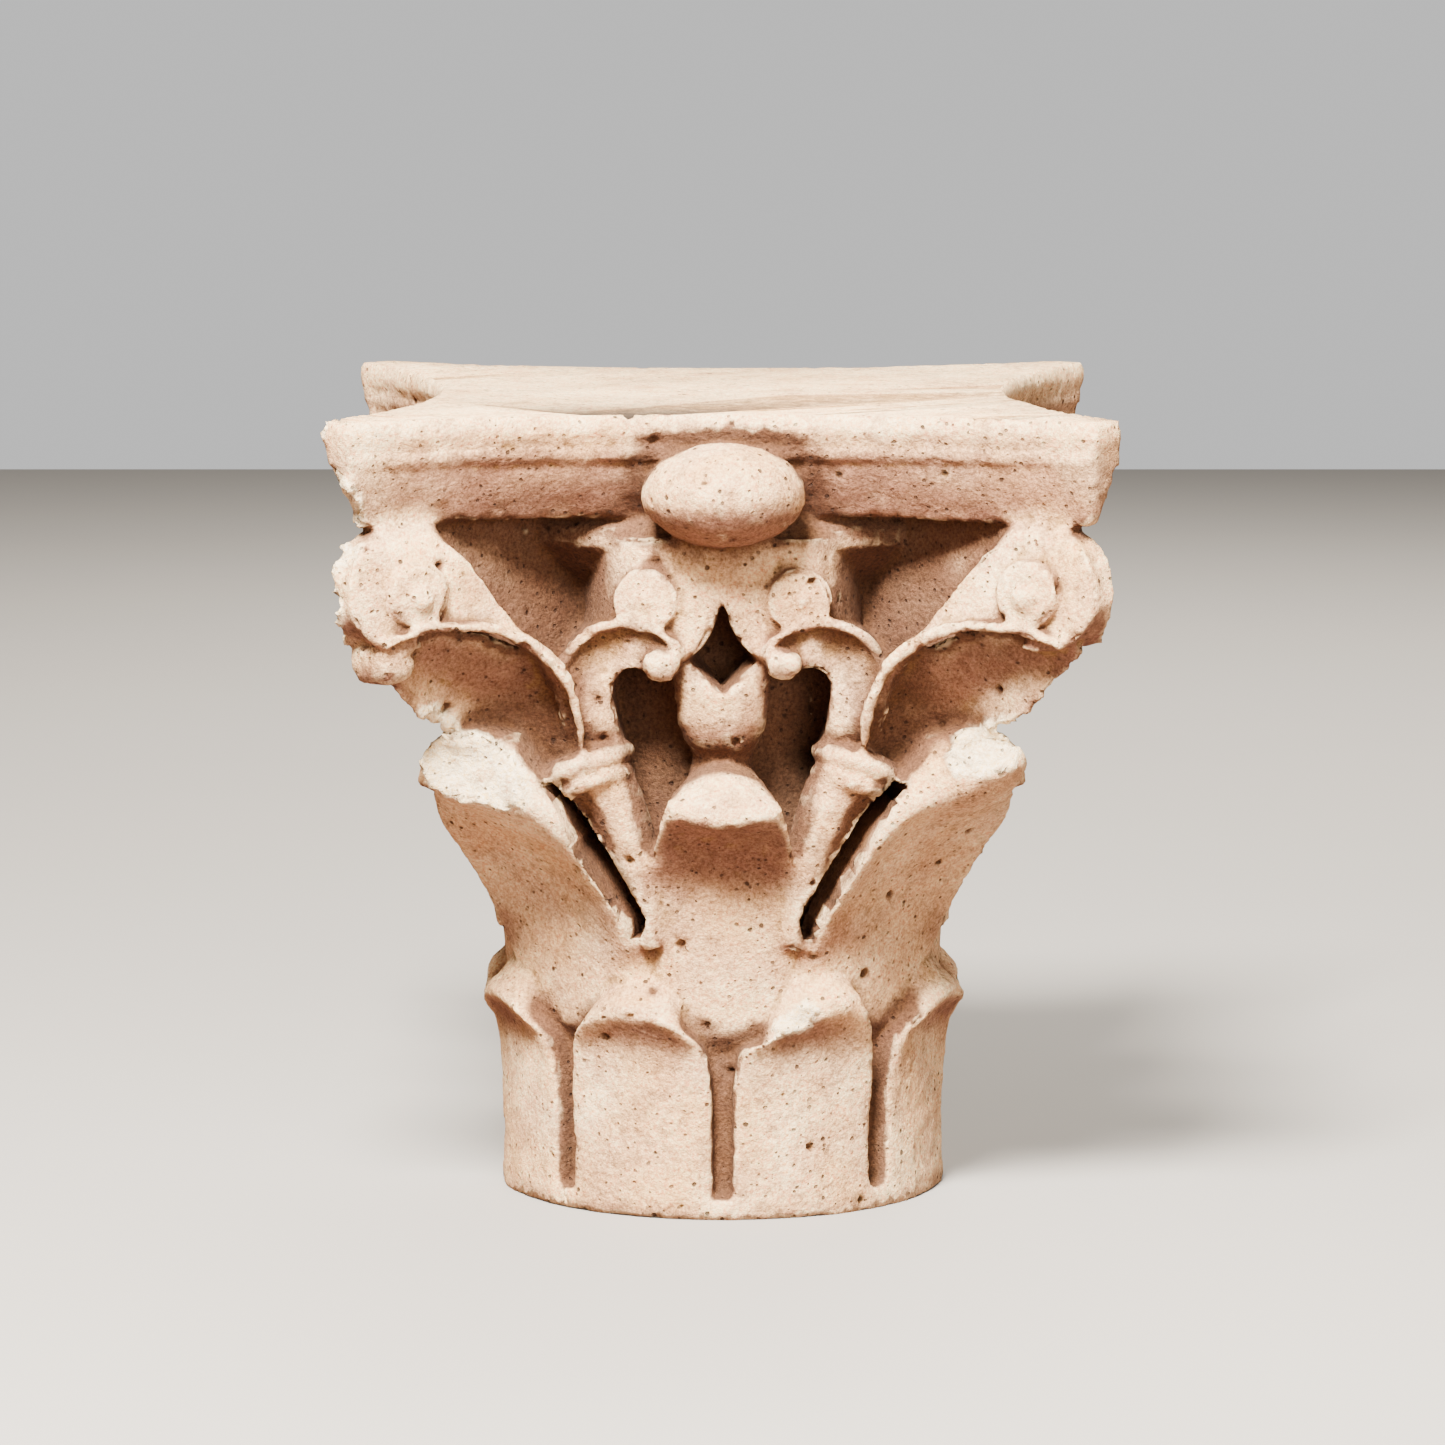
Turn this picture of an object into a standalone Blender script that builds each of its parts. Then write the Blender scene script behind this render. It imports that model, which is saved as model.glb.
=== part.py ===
# A plain-leaf Corinthian capital carved from one block of pale stone, worn and chipped.
# Metres, +Z up, the origin at the centre of the lower bed, the front towards -Y.
# Azimuths are in degrees round the axis, 0 at the front and growing towards +X.
from math import asin, atan2, copysign, cos, pi, radians, sin, sqrt

import bmesh
import bpy
from mathutils import Matrix, Vector

# The block
HEIGHT = 0.471
ABACUS_WIDTH = 0.450
ABACUS_THICKNESS = 0.060
ABACUS_HOLLOW = 0.057
CORNER_CHAMFER = 0.017
BASE_RADIUS = 0.131
BED_MARGIN = 0.012

# The bell behind the leaves
GROOVE_RADIUS = 0.118
BELL_RADIUS = 0.113
BELL_THROAT = 0.126
BELL_LIP_RADIUS = 0.159
BELL_LIP_THICKNESS = 0.014

# The two rows of leaves
BASE_BAND = 0.013
LOWER_LEAF_LIP = 0.120
LOWER_LEAF_WIDTH = 0.090
LOWER_LEAF_REACH = 0.147
LEAF_SLANT = 0.013
UPPER_LEAF_FOOT = 0.103
AXIAL_LEAF_LIP = 0.240
AXIAL_LEAF_WIDTH = 0.083
AXIAL_LEAF_REACH = 0.180
DIAGONAL_LEAF_LIP = 0.246
DIAGONAL_LEAF_WIDTH = 0.124
DIAGONAL_LEAF_REACH = 0.236

# The stalks and what grows from them
STALK_RADIUS = 0.0225
COLLAR_LEVEL = 0.264
COLLAR_AZIMUTH = 29.8
COLLAR_DISTANCE = 0.155
COLLAR_RING = 0.0045
SLOT_RISE = 0.062
SLOT_DEPTH = 0.122
CALYX_HOLLOW = 0.019
RIM_BEAD = 0.0036
CALYX_TIP_INSET = 0.036
CALYX_ROOT = 0.080

# The corner volutes and the small inner scrolls
VOLUTE_DROP = 0.038
VOLUTE_SPAN = 0.133
VOLUTE_RADIUS = 0.041
VOLUTE_EYE_RADIUS = 0.0185
VOLUTE_EYE_RUN = 0.039
VOLUTE_PLATE = 0.018
PLATE_EASING = 0.012
PLATE_GAP = 0.005
VOLUTE_TURN = 26.0
HELIX_DROP = 0.046
HELIX_RADIUS = 0.043
HELIX_EYE_RADIUS = 0.0185
HELIX_DISTANCE = 0.168
EYE_PROUD = 0.0055

# The sheath in the middle of each side and the boss over it
SHEATH_WIDTH = 0.056
SHEATH_REACH = 0.160
BOSS_WIDTH = 0.094
BOSS_HEIGHT = 0.058
BOSS_REACH = 0.217
BOSS_DROP = 0.016

# The breaks
BREAK_ROUGHNESS = 0.07
BREAK_FACETS = 2

# The fineness of the finished block
GRAIN = 0.0032
TRIANGLES = 7900

UNDERSIDE = HEIGHT - ABACUS_THICKNESS
VOLUTE_LEVEL = UNDERSIDE - VOLUTE_DROP
HELIX_LEVEL = UNDERSIDE - HELIX_DROP
QUARTERS = 4
LEAVES_IN_ROW = 8
BROKEN_TIP = 0
SLANTED_LEAF = 0
STONE_COLOUR = (0.72, 0.60, 0.47, 1.0)
STONE_ROUGHNESS = 0.92


def polar(radius, azimuth, level):
    angle = radians(azimuth)
    return Vector((radius * sin(angle), -radius * cos(angle), level))


def smooth_through(points, share):
    # The place at a share of the way along a smooth line through points of any dimension.
    last = len(points) - 1
    place = min(max(share, 0.0), 1.0) * last
    index = min(int(place), last - 1)
    step = place - index
    before, start, end, after = (points[min(max(index + shift, 0), last)] for shift in (-1, 0, 1, 2))
    found = []
    for p, a, b, n in zip(before, start, end, after):
        bend = (2 * p - 5 * a + 4 * b - n) * step * step + (3 * a - p - 3 * b + n) * step ** 3
        found.append(0.5 * (2 * a + (b - p) * step + bend))
    return found


def clear_scene():
    for item in list(bpy.data.objects):
        bpy.data.objects.remove(item, do_unlink=True)


def new_collection(name):
    collection = bpy.data.collections.new(name)
    bpy.context.scene.collection.children.link(collection)
    return collection


def closed_sheet(outer, inner, rows, columns):
    # A closed body between two sheets, each a function of the shares up and across.
    body = bmesh.new()
    sides = []
    for sheet in (outer, inner):
        grid = []
        for row in range(rows + 1):
            line = [body.verts.new(sheet(row / rows, column / columns)) for column in range(columns + 1)]
            grid.append(line)
        sides.append(grid)
    for grid, turned in zip(sides, (False, True)):
        for row in range(rows):
            for column in range(columns):
                low, high = grid[row], grid[row + 1]
                ring = [low[column], low[column + 1], high[column + 1], high[column]]
                body.faces.new(ring[::-1] if turned else ring)
    front, back = sides
    for column in range(columns):
        body.faces.new([front[0][column + 1], front[0][column], back[0][column], back[0][column + 1]])
        body.faces.new([front[-1][column], front[-1][column + 1], back[-1][column + 1], back[-1][column]])
    for row in range(rows):
        body.faces.new([front[row][0], front[row + 1][0], back[row + 1][0], back[row][0]])
        body.faces.new([front[row + 1][-1], front[row][-1], back[row][-1], back[row + 1][-1]])
    return body


def stacked_rings(rings):
    # A closed body through rings of equally many points, with a flat cap at each end.
    body = bmesh.new()
    loops = [[body.verts.new(point) for point in ring] for ring in rings]
    count = len(loops[0])
    for low, high in zip(loops, loops[1:]):
        for index in range(count):
            ahead = (index + 1) % count
            body.faces.new([low[index], low[ahead], high[ahead], high[index]])
    body.faces.new(loops[0][::-1])
    body.faces.new(loops[-1])
    return body


def turned_body(profile, steps):
    rings = []
    for radius, level in profile:
        rings.append([polar(radius, 360 * step / steps, level) for step in range(steps)])
    return stacked_rings(rings)


def ball(centre, radii, turn=0.0, blunt=1.0):
    # An egg that grows boxier as blunt falls below 1.
    body = bmesh.new()
    bmesh.ops.create_uvsphere(body, u_segments=28, v_segments=18, radius=1.0)
    for vert in body.verts:
        vert.co = [copysign(abs(part) ** blunt, part) for part in vert.co]
    shape = Matrix.Translation(centre) @ Matrix.Rotation(radians(turn), 4, "X")
    bmesh.ops.transform(body, matrix=shape @ Matrix.Diagonal((*radii, 1.0)), verts=body.verts)
    return body


def tube(path, radii, sides):
    rings = []
    for index, point in enumerate(path):
        ahead = path[min(index + 1, len(path) - 1)] - path[max(index - 1, 0)]
        turn = ahead.to_track_quat("Z", "Y")
        ring = []
        for side in range(sides):
            angle = 2 * pi * side / sides
            ring.append(point + turn @ Vector((radii[index] * cos(angle), radii[index] * sin(angle), 0)))
        rings.append(ring)
    return stacked_rings(rings)


class Plane:
    # An upright plane through a point, with its face turned from the front.
    def __init__(self, point, turn):
        angle = radians(turn)
        self.origin = Vector((point.x, point.y, 0))
        self.along = Vector((cos(angle), -sin(angle), 0))
        self.outward = Vector((-sin(angle), -cos(angle), 0))

    def at(self, run, level, proud=0.0):
        return self.origin + self.along * run + self.outward * proud + Vector((0, 0, level))


def plate(plane, outline, front, back):
    # The outline in the plane, from the front depth to the back, leaning back under the abacus. Its
    # top lies below the abacus in front and inside it behind.
    rings = []
    for depth, share in ((front, 0.0), (0.5 * (front + back), 0.7), (back, 1.0)):
        top = UNDERSIDE - PLATE_GAP * (1 - 2 * share)
        ring = []
        for run, level in outline:
            level = min(level, top)
            lean = max(level - UNDERSIDE + PLATE_EASING, 0.0)
            ring.append(plane.at(run, level, depth - lean * (1 - share)))
        rings.append(ring)
    return stacked_rings(rings)


def bell():
    shoulder = UPPER_LEAF_FOOT + 0.010
    slot_foot = UPPER_LEAF_FOOT + 0.062
    lip_top = UNDERSIDE - 0.006
    lip_foot = lip_top - BELL_LIP_THICKNESS
    profile = [
        (BASE_RADIUS - 0.002, -BED_MARGIN),
        (BASE_RADIUS, 0.003),
        (BASE_RADIUS, BASE_BAND - 0.002),
        (GROOVE_RADIUS, BASE_BAND + 0.002),
        (GROOVE_RADIUS, UPPER_LEAF_FOOT - 0.004),
        (GROOVE_RADIUS + 0.008, shoulder),
        (GROOVE_RADIUS + 0.010, slot_foot - 0.010),
        (BELL_RADIUS, slot_foot + 0.004),
        (BELL_RADIUS, COLLAR_LEVEL),
        (BELL_THROAT - 0.004, HELIX_LEVEL - 0.030),
        (BELL_THROAT + 0.006, HELIX_LEVEL + 0.004),
        (BELL_THROAT + 0.020, lip_foot - 0.010),
        (BELL_LIP_RADIUS - 0.006, lip_foot - 0.002),
        (BELL_LIP_RADIUS, lip_foot + 0.002),
        (BELL_LIP_RADIUS, lip_top - 0.001),
        (BELL_LIP_RADIUS - 0.010, UNDERSIDE),
        (BELL_LIP_RADIUS - 0.020, UNDERSIDE + 0.012),
    ]
    return turned_body(profile, 96)


def leaf(azimuth, stations, depth, ridge=1.0, roll=0.0, root=1.0, bend=2.0, slant=0.0):
    # A blade against the bell. A station holds its level, the radius of its middle, its half width,
    # how far its ridges stand proud of the middle, and how far they rise above it.
    # Beyond the ridges, at a share of the half width, the edges roll back towards the bell.
    # The root is the width at the back as a share of the width in front. A bend of 2 rises in a
    # round arc and a bend of 1 in a notch. The slant lifts one end of the lip and lowers the other.
    def outer(up, across):
        level, radius, half, proud, rise = smooth_through(stations, up)
        side = 2 * across - 1
        lift = proud * min(abs(side) / ridge, 1.0) ** 2.6
        beyond = max(abs(side) - ridge, 0.0) / max(1.0 - ridge, 0.001)
        worn = 0.003 * max(abs(side) - 0.88, 0.0) / 0.12
        swing = side * half / max(radius, depth)
        radius += lift - roll * beyond ** 1.4 - worn
        level += rise * abs(side) ** bend + slant * side * min(max(up * 3 - 1, 0.0), 1.0)
        return polar(radius, azimuth + swing * 180 / pi, level)

    def inner(up, across):
        point = outer(up, across)
        swing = atan2(point.x, -point.y) * 180 / pi - azimuth
        return polar(depth, azimuth + swing * root, point.z)

    return closed_sheet(outer, inner, 30, 22)


def lower_leaf(azimuth, slant=0.0):
    lip = LOWER_LEAF_LIP
    half = LOWER_LEAF_WIDTH / 2
    reach = LOWER_LEAF_REACH
    face = BASE_RADIUS
    stations = [
        (BASE_BAND - 0.006, face, half + 0.001, 0, 0),
        (lip * 0.30, face - 0.001, half, 0.001, 0),
        (lip * 0.60, face - 0.001, half, 0.003, 0),
        (lip * 0.82, face + 0.002, half - 0.002, 0.004, -0.002),
        (lip - 0.008, reach - 0.007, half - 0.006, 0.003, -0.006),
        (lip, reach, half - 0.010, -0.001, -0.008),
        (lip + 0.006, reach - 0.001, half - 0.014, -0.004, -0.008),
        (lip + 0.017, reach - 0.012, half - 0.019, -0.006, -0.008),
        (lip + 0.031, face - 0.005, half - 0.028, -0.006, -0.006),
        (lip + 0.039, GROOVE_RADIUS, half - 0.034, 0, 0),
    ]
    return leaf(azimuth, stations, GROOVE_RADIUS - 0.020, slant=slant)


def axial_leaf(azimuth):
    foot, lip = UPPER_LEAF_FOOT, AXIAL_LEAF_LIP
    rise = lip - foot
    half = AXIAL_LEAF_WIDTH / 2
    face, reach = BASE_RADIUS, AXIAL_LEAF_REACH
    stations = [
        (foot - 0.008, GROOVE_RADIUS - 0.002, 0.010, 0, 0),
        (foot + 0.006, face - 0.006, 0.020, 0, 0),
        (foot + rise * 0.22, face - 0.003, half - 0.002, 0, 0),
        (foot + rise * 0.37, face - 0.001, half, 0.001, 0),
        (foot + rise * 0.50, face + 0.001, half, 0.004, 0),
        (foot + rise * 0.66, face + 0.004, half - 0.001, 0.009, 0),
        (foot + rise * 0.80, face + 0.013, half - 0.002, 0.012, 0),
        (foot + rise * 0.91, face + 0.026, half - 0.005, 0.011, 0.002),
        (lip - 0.005, reach - 0.008, half - 0.007, 0.006, 0.008),
        (lip - 0.002, reach, half - 0.008, -0.001, 0.009),
        (lip + 0.007, reach - 0.002, half - 0.008, -0.005, 0.003),
        (lip + 0.018, reach - 0.009, half - 0.012, -0.009, -0.004),
        (lip + 0.027, reach - 0.021, half - 0.019, -0.010, -0.006),
        (lip + 0.034, BELL_THROAT - 0.004, half - 0.029, 0, -0.006),
    ]
    return leaf(azimuth, stations, BELL_RADIUS - 0.020)


def diagonal_leaf(azimuth):
    foot, lip = UPPER_LEAF_FOOT, DIAGONAL_LEAF_LIP
    rise = lip - foot
    half = DIAGONAL_LEAF_WIDTH / 2
    face, reach = BASE_RADIUS, DIAGONAL_LEAF_REACH
    swell = reach - face
    stations = [
        (foot - 0.008, GROOVE_RADIUS - 0.002, 0.012, 0, 0),
        (foot + 0.006, face - 0.006, 0.024, 0, 0),
        (foot + rise * 0.21, face - 0.001, half - 0.002, 0, 0),
        (foot + rise * 0.35, face + 0.002, half + 0.001, 0.004, 0),
        (foot + rise * 0.47, face + 0.006, half + 0.001, 0.009, 0),
        (foot + rise * 0.60, face + swell * 0.13, half - 0.002, 0.013, 0),
        (foot + rise * 0.75, face + swell * 0.27, half - 0.003, 0.014, 0),
        (foot + rise * 0.88, face + swell * 0.45, half - 0.005, 0.012, 0.002),
        (foot + rise * 0.96, face + swell * 0.62, half - 0.008, 0.002, 0.004),
        (lip + 0.002, face + swell * 0.78, half - 0.011, -0.012, 0.004),
        (lip + 0.012, reach - 0.010, half - 0.016, -0.024, 0.004),
        (lip + 0.024, reach, half - 0.024, -0.030, 0.002),
        (lip + 0.034, reach - 0.006, half - 0.032, -0.028, 0),
        (lip + 0.042, reach - 0.020, half - 0.038, -0.020, -0.002),
        (lip + 0.046, reach - 0.044, half - 0.044, -0.010, -0.004),
        (lip + 0.044, BELL_THROAT, half - 0.052, 0, 0),
    ]
    return leaf(azimuth, stations, BELL_RADIUS - 0.020, 0.78, 0.007, 0.35)


def stalk():
    # Its stations hold the share of the way up to the collar, the azimuth, how far inside the
    # collar's distance the middle lies, and the radius as a share of the radius at the collar.
    foot = UPPER_LEAF_FOOT + 0.056
    length = COLLAR_LEVEL - foot
    stations = [
        (0.00, COLLAR_AZIMUTH - 12.2, 0.023, 0.30), (0.15, COLLAR_AZIMUTH - 11.5, 0.021, 0.38),
        (0.39, COLLAR_AZIMUTH - 10.1, 0.017, 0.52), (0.63, COLLAR_AZIMUTH - 8.0, 0.011, 0.66),
        (0.87, COLLAR_AZIMUTH - 4.6, 0.005, 0.76), (1.00, COLLAR_AZIMUTH, 0.0, 0.84),
    ]
    steps = 18
    path, radii = [], []
    for step in range(steps + 1):
        share, azimuth, inset, size = smooth_through(stations, step / steps)
        path.append(polar(COLLAR_DISTANCE - inset, azimuth, foot + length * share))
        radii.append(STALK_RADIUS * size)
    return tube(path, radii, 24)


def collar():
    # Two rings round the top of the stalk, square to its lean.
    centre = polar(COLLAR_DISTANCE, COLLAR_AZIMUTH, COLLAR_LEVEL)
    side = Vector((cos(radians(COLLAR_AZIMUTH)), sin(radians(COLLAR_AZIMUTH)), 0))
    lean = (Vector((0, 0, 1)) + side * 0.42).normalized()
    ring = COLLAR_RING
    section = [
        (-3.0, -0.6), (-2.6, 0.2), (-2.1, 0.55), (-1.5, 0.55), (-1.0, 0.1), (-0.75, 0.1),
        (-0.4, 0.9), (0.3, 1.4), (1.0, 1.45), (1.7, 1.0), (2.0, 0.2), (2.6, -0.5),
    ]
    path = [centre + lean * ring * level for level, _ in section]
    radii = [STALK_RADIUS + ring * proud for _, proud in section]
    return tube(path, radii, 32)


def slot():
    # The deep slot between a stalk and the leaf beside it. Its near side is cut straight back and its
    # far side slants in. Its stations hold the rise, how far the near side lies from the middle of
    # the front, and the width of the mouth.
    foot = UPPER_LEAF_FOOT + SLOT_RISE
    stations = [
        (0.000, 0.0475, 0.010), (0.006, 0.0445, 0.018), (0.012, 0.0440, 0.023), (0.024, 0.0500, 0.021),
        (0.036, 0.0567, 0.019), (0.048, 0.0637, 0.017), (0.060, 0.0715, 0.014), (0.072, 0.0785, 0.011),
        (0.084, 0.0875, 0.008), (0.094, 0.0975, 0.005),
    ]
    rings = []
    for rise, near, mouth in stations:
        front = -AXIAL_LEAF_REACH - 0.015
        back = -sqrt(SLOT_DEPTH ** 2 - near ** 2)
        ring = [(near, front), (near + mouth * 1.5, front), (near + mouth * 0.3, back), (near, back + 0.003)]
        rings.append([Vector((x, y, foot + rise)) for x, y in ring])
    return stacked_rings(rings)


def volute_plane():
    half = ABACUS_WIDTH / 2
    return Plane(Vector((half - 0.018, 0.006 - half, 0)), VOLUTE_TURN)


def rim_line():
    # The rim of the outer calyx leaf in the volute's plane, from the collar to the corner: how far
    # along, the level, and how far it stands proud of the plane.
    rise = VOLUTE_LEVEL - COLLAR_LEVEL
    shares = [
        (-1.095, 0.02, -0.008), (-1.055, 0.16, 0.001), (-1.018, 0.31, 0.008), (-0.975, 0.45, 0.011),
        (-0.915, 0.58, 0.012), (-0.81, 0.70, 0.011), (-0.67, 0.79, 0.009), (-0.53, 0.825, 0.007),
        (-0.40, 0.825, 0.006), (-0.28, 0.80, 0.005), (-0.17, 0.76, 0.003), (-0.11, 0.715, 0.001),
    ]
    return [(VOLUTE_SPAN * run, COLLAR_LEVEL + rise * up, proud) for run, up, proud in shares]


def round_disc(eye, radius):
    steps = 28
    angles = [2 * pi * step / steps for step in range(steps)]
    return [(eye.x + radius * cos(angle), eye.y + radius * sin(angle)) for angle in angles]


def volute():
    plane = volute_plane()
    span = VOLUTE_SPAN
    eye = Vector((-VOLUTE_EYE_RUN, VOLUTE_LEVEL))
    outline = [(run, level + 0.004) for run, level, _ in rim_line()[2:10]]
    for step in range(17):
        angle = radians(-100 + 205 * step / 16)
        wind = VOLUTE_RADIUS * (0.76 + 0.24 * min(step / 7, 1.0))
        outline.append((eye.x + wind * cos(angle), eye.y + wind * sin(angle)))
    rise = VOLUTE_LEVEL - COLLAR_LEVEL
    for run, up in ((-0.40, 1.37), (-0.52, 1.17), (-0.66, 0.965), (-0.80, 0.745), (-0.90, 0.57)):
        outline.append((span * run, COLLAR_LEVEL + rise * up))
    pieces = [plate(plane, outline, 0, -VOLUTE_PLATE)]
    pieces.append(plate(plane, round_disc(eye, VOLUTE_EYE_RADIUS), EYE_PROUD, -VOLUTE_PLATE / 2))
    pieces.append(ball(plane.at(eye.x, eye.y - 0.002, EYE_PROUD), (0.0075, 0.005, 0.0075)))
    return pieces


def corner_web():
    # The neck of stone left between the bell and the two volutes of a corner.
    corner = (ABACUS_WIDTH - CORNER_CHAMFER) / sqrt(2)
    foot = COLLAR_LEVEL + 0.012
    rings = []
    for level, reach in (
        (foot, 0.54), (foot + 0.022, 0.60), (foot + 0.045, 0.68), (VOLUTE_LEVEL - 0.028, 0.78),
        (VOLUTE_LEVEL, 0.86), (UNDERSIDE - 0.014, 0.86), (UNDERSIDE + 0.010, 0.78),
    ):
        ring = []
        for radius, half in ((0.30, 0.016), (0.50, 0.009), (0.62, 0.007), (0.72, 0.008),
            (0.80, 0.011), (0.86, 0.011), (1.0, 0.005)):
            out = corner * min(radius, reach) if radius < 1 else corner * reach + 0.002
            ring.append(Vector((half, -out - 0.0002 * radius, level)))
        ring += [Vector((-point.x, point.y, point.z)) for point in reversed(ring)]
        rings.append([Matrix.Rotation(radians(45), 3, "Z") @ point for point in ring])
    return stacked_rings(rings)


def outer_calyx():
    # The leaf under a volute: hollow below from its rim to a crease, then a facet down to the arris
    # on the corner's diagonal.
    plane = volute_plane()
    rim = [tuple(plane.at(run, level, proud)) for run, level, proud in rim_line()]
    corner = (ABACUS_WIDTH - CORNER_CHAMFER) / sqrt(2)
    rise = VOLUTE_LEVEL - COLLAR_LEVEL
    reach = corner - COLLAR_DISTANCE
    side = polar(COLLAR_DISTANCE, COLLAR_AZIMUTH, 0) + polar(STALK_RADIUS, COLLAR_AZIMUTH + 82, 0)
    crease = [(side.x, side.y, COLLAR_LEVEL + 0.002)]
    crease.append(tuple(polar(COLLAR_DISTANCE + 0.018, COLLAR_AZIMUTH + 11.5, COLLAR_LEVEL + 0.010)))
    arris = [(point[0], point[1], point[2] - 0.004) for point in crease]
    for out, up in ((0.235, 0.24), (0.34, 0.375), (0.47, 0.495), (0.57, 0.545), (0.66, 0.575),
        (0.75, 0.62), (0.83, 0.67), (0.89, 0.70)):
        azimuth = 45 - 2.2 * (1 - out)
        crease.append(tuple(polar(COLLAR_DISTANCE + reach * out, azimuth, COLLAR_LEVEL + rise * up)))
    for out, up in ((0.235, 0.12), (0.36, 0.15), (0.48, 0.20), (0.57, 0.28), (0.66, 0.39),
        (0.74, 0.51), (0.82, 0.62), (0.88, 0.68)):
        arris.append(tuple(polar(COLLAR_DISTANCE + reach * out, 45.5, COLLAR_LEVEL + rise * up)))
    fold_share = 0.72

    def outer(up, across):
        edge, fold, low = (Vector(smooth_through(line, up)) for line in (rim, crease, arris))
        if across > fold_share:
            return fold.lerp(low, (across - fold_share) / (1 - fold_share))
        share = across / fold_share
        point = edge.lerp(fold, share)
        bulge = CALYX_HOLLOW * sin(pi * share ** 0.6) * (1 - 0.35 * up) * min(up * 4, 1.0)
        inward = Vector((-point.x, -point.y, 0)).normalized()
        return point + (inward * 0.9 + Vector((0, 0, 0.45))) * bulge

    def inner(up, across):
        lean = 45 - 14 * (1 - min(up * 3, 1.0))
        depth = COLLAR_DISTANCE - 0.020 + reach * 0.60 * up
        core = polar(depth, lean, COLLAR_LEVEL + rise * (0.30 + 0.60 * up))
        return outer(up, across).lerp(core, 0.85)

    bead = [Vector(point) for point in rim]
    steps = 40
    path = [Vector(smooth_through(bead, 0.95 * step / steps)) for step in range(steps + 1)]
    radii = [RIM_BEAD * (0.7 + 0.3 * sin(pi * step / steps)) for step in range(steps + 1)]
    return [closed_sheet(outer, inner, 28, 14), tube(path, radii, 12)]


def calyx_tip():
    # The blunt curled tip where the two calyx leaves of a corner meet.
    corner = (ABACUS_WIDTH - CORNER_CHAMFER) / sqrt(2)
    level = COLLAR_LEVEL + (VOLUTE_LEVEL - COLLAR_LEVEL) * 0.64
    body = ball(Vector((0, -corner + CALYX_TIP_INSET, level)), (0.018, 0.014, 0.0125), 10, 0.6)
    bmesh.ops.transform(body, matrix=Matrix.Rotation(radians(45), 4, "Z"), verts=body.verts)
    return body


def helix_plane():
    return Plane(Vector((0, -HELIX_DISTANCE, 0)), -8)


def helix():
    # The small scroll: a rounded body from the middle of the side round into the recess, and its eye.
    plane = helix_plane()
    eye = Vector((HELIX_RADIUS + 0.001, HELIX_LEVEL))
    top = UNDERSIDE - 0.011
    width = HELIX_RADIUS * 2.05
    hidden = HELIX_LEVEL - 0.050

    def outer(up, across):
        run = width * across
        reach = HELIX_RADIUS * (0.965 - 0.05 * across)
        apart = min(abs(run - eye.x) / reach, 1.0)
        low = eye.y - reach * sqrt(1 - apart * apart)
        if run > eye.x:
            low = min(low, hidden + 0.012)
        turn = max(across - 0.52, 0.0) / 0.48
        back = 0.052 * turn ** 2.0
        return plane.at(run * (1 - 0.03 * up * turn), low + (top - low) * up, -back)

    def inner(up, across):
        point = outer(up, across)
        return polar(BELL_RADIUS, atan2(point.x, -point.y) * 180 / pi, point.z)

    pieces = [closed_sheet(outer, inner, 14, 30)]
    pieces.append(plate(plane, round_disc(eye, HELIX_EYE_RADIUS), EYE_PROUD, -0.010))
    pieces.append(ball(plane.at(eye.x, eye.y, EYE_PROUD), (0.005, 0.004, 0.005)))
    return pieces


def inner_calyx():
    # The narrow leaf that climbs from the collar and curls under the small scroll. Its lines hold how
    # far along, the level as a share of the way up to the eye, and how far proud of the plane.
    plane = helix_plane()
    drop = HELIX_LEVEL - COLLAR_LEVEL
    size = HELIX_RADIUS
    rim = [
        (2.04, 0.05, -0.036), (2.10, 0.17, -0.016), (2.15, 0.33, -0.002), (2.18, 0.49, 0.003),
        (2.13, 0.64, 0.004),
        (1.93, 0.765, 0.004), (1.63, 0.845, 0.004), (1.29, 0.87, 0.004), (0.95, 0.845, 0.005),
        (0.66, 0.775, 0.006), (0.50, 0.70, 0.005),
    ]
    fold = [
        (1.34, 0.09, -0.036), (1.38, 0.15, -0.022), (1.42, 0.24, -0.013), (1.46, 0.36, -0.008),
        (1.48, 0.47, -0.005),
        (1.43, 0.555, -0.003), (1.31, 0.60, -0.001), (1.14, 0.615, 0.002), (0.98, 0.62, 0.004),
        (0.80, 0.615, 0.005), (0.62, 0.60, 0.004),
    ]

    def outer(up, across):
        edge, deep = smooth_through(rim, up), smooth_through(fold, up)
        run, share, proud = (a + (b - a) * across for a, b in zip(edge, deep))
        swell = sin(pi * across) * (0.008 - 0.015 * min(max(up - 0.15, 0.0) / 0.35, 1.0))
        return plane.at(run * size, COLLAR_LEVEL + share * drop, proud + swell)

    def inner(up, across):
        point = outer(up, across)
        return Vector((point.x, -CALYX_ROOT, point.z))

    steps = 36
    path, radii = [], []
    for step in range(steps + 1):
        run, share, proud = smooth_through(rim, step / steps)
        path.append(plane.at(run * size, COLLAR_LEVEL + share * drop, proud - 0.001))
        radii.append(RIM_BEAD * (0.6 + 0.4 * sin(pi * step / steps)))
    curl = ball(plane.at(0.80 * size, COLLAR_LEVEL + 0.64 * drop, 0.005), (0.011, 0.008, 0.009), 20, 0.8)
    return [closed_sheet(outer, inner, 26, 8), tube(path, radii, 12), curl]


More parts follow.
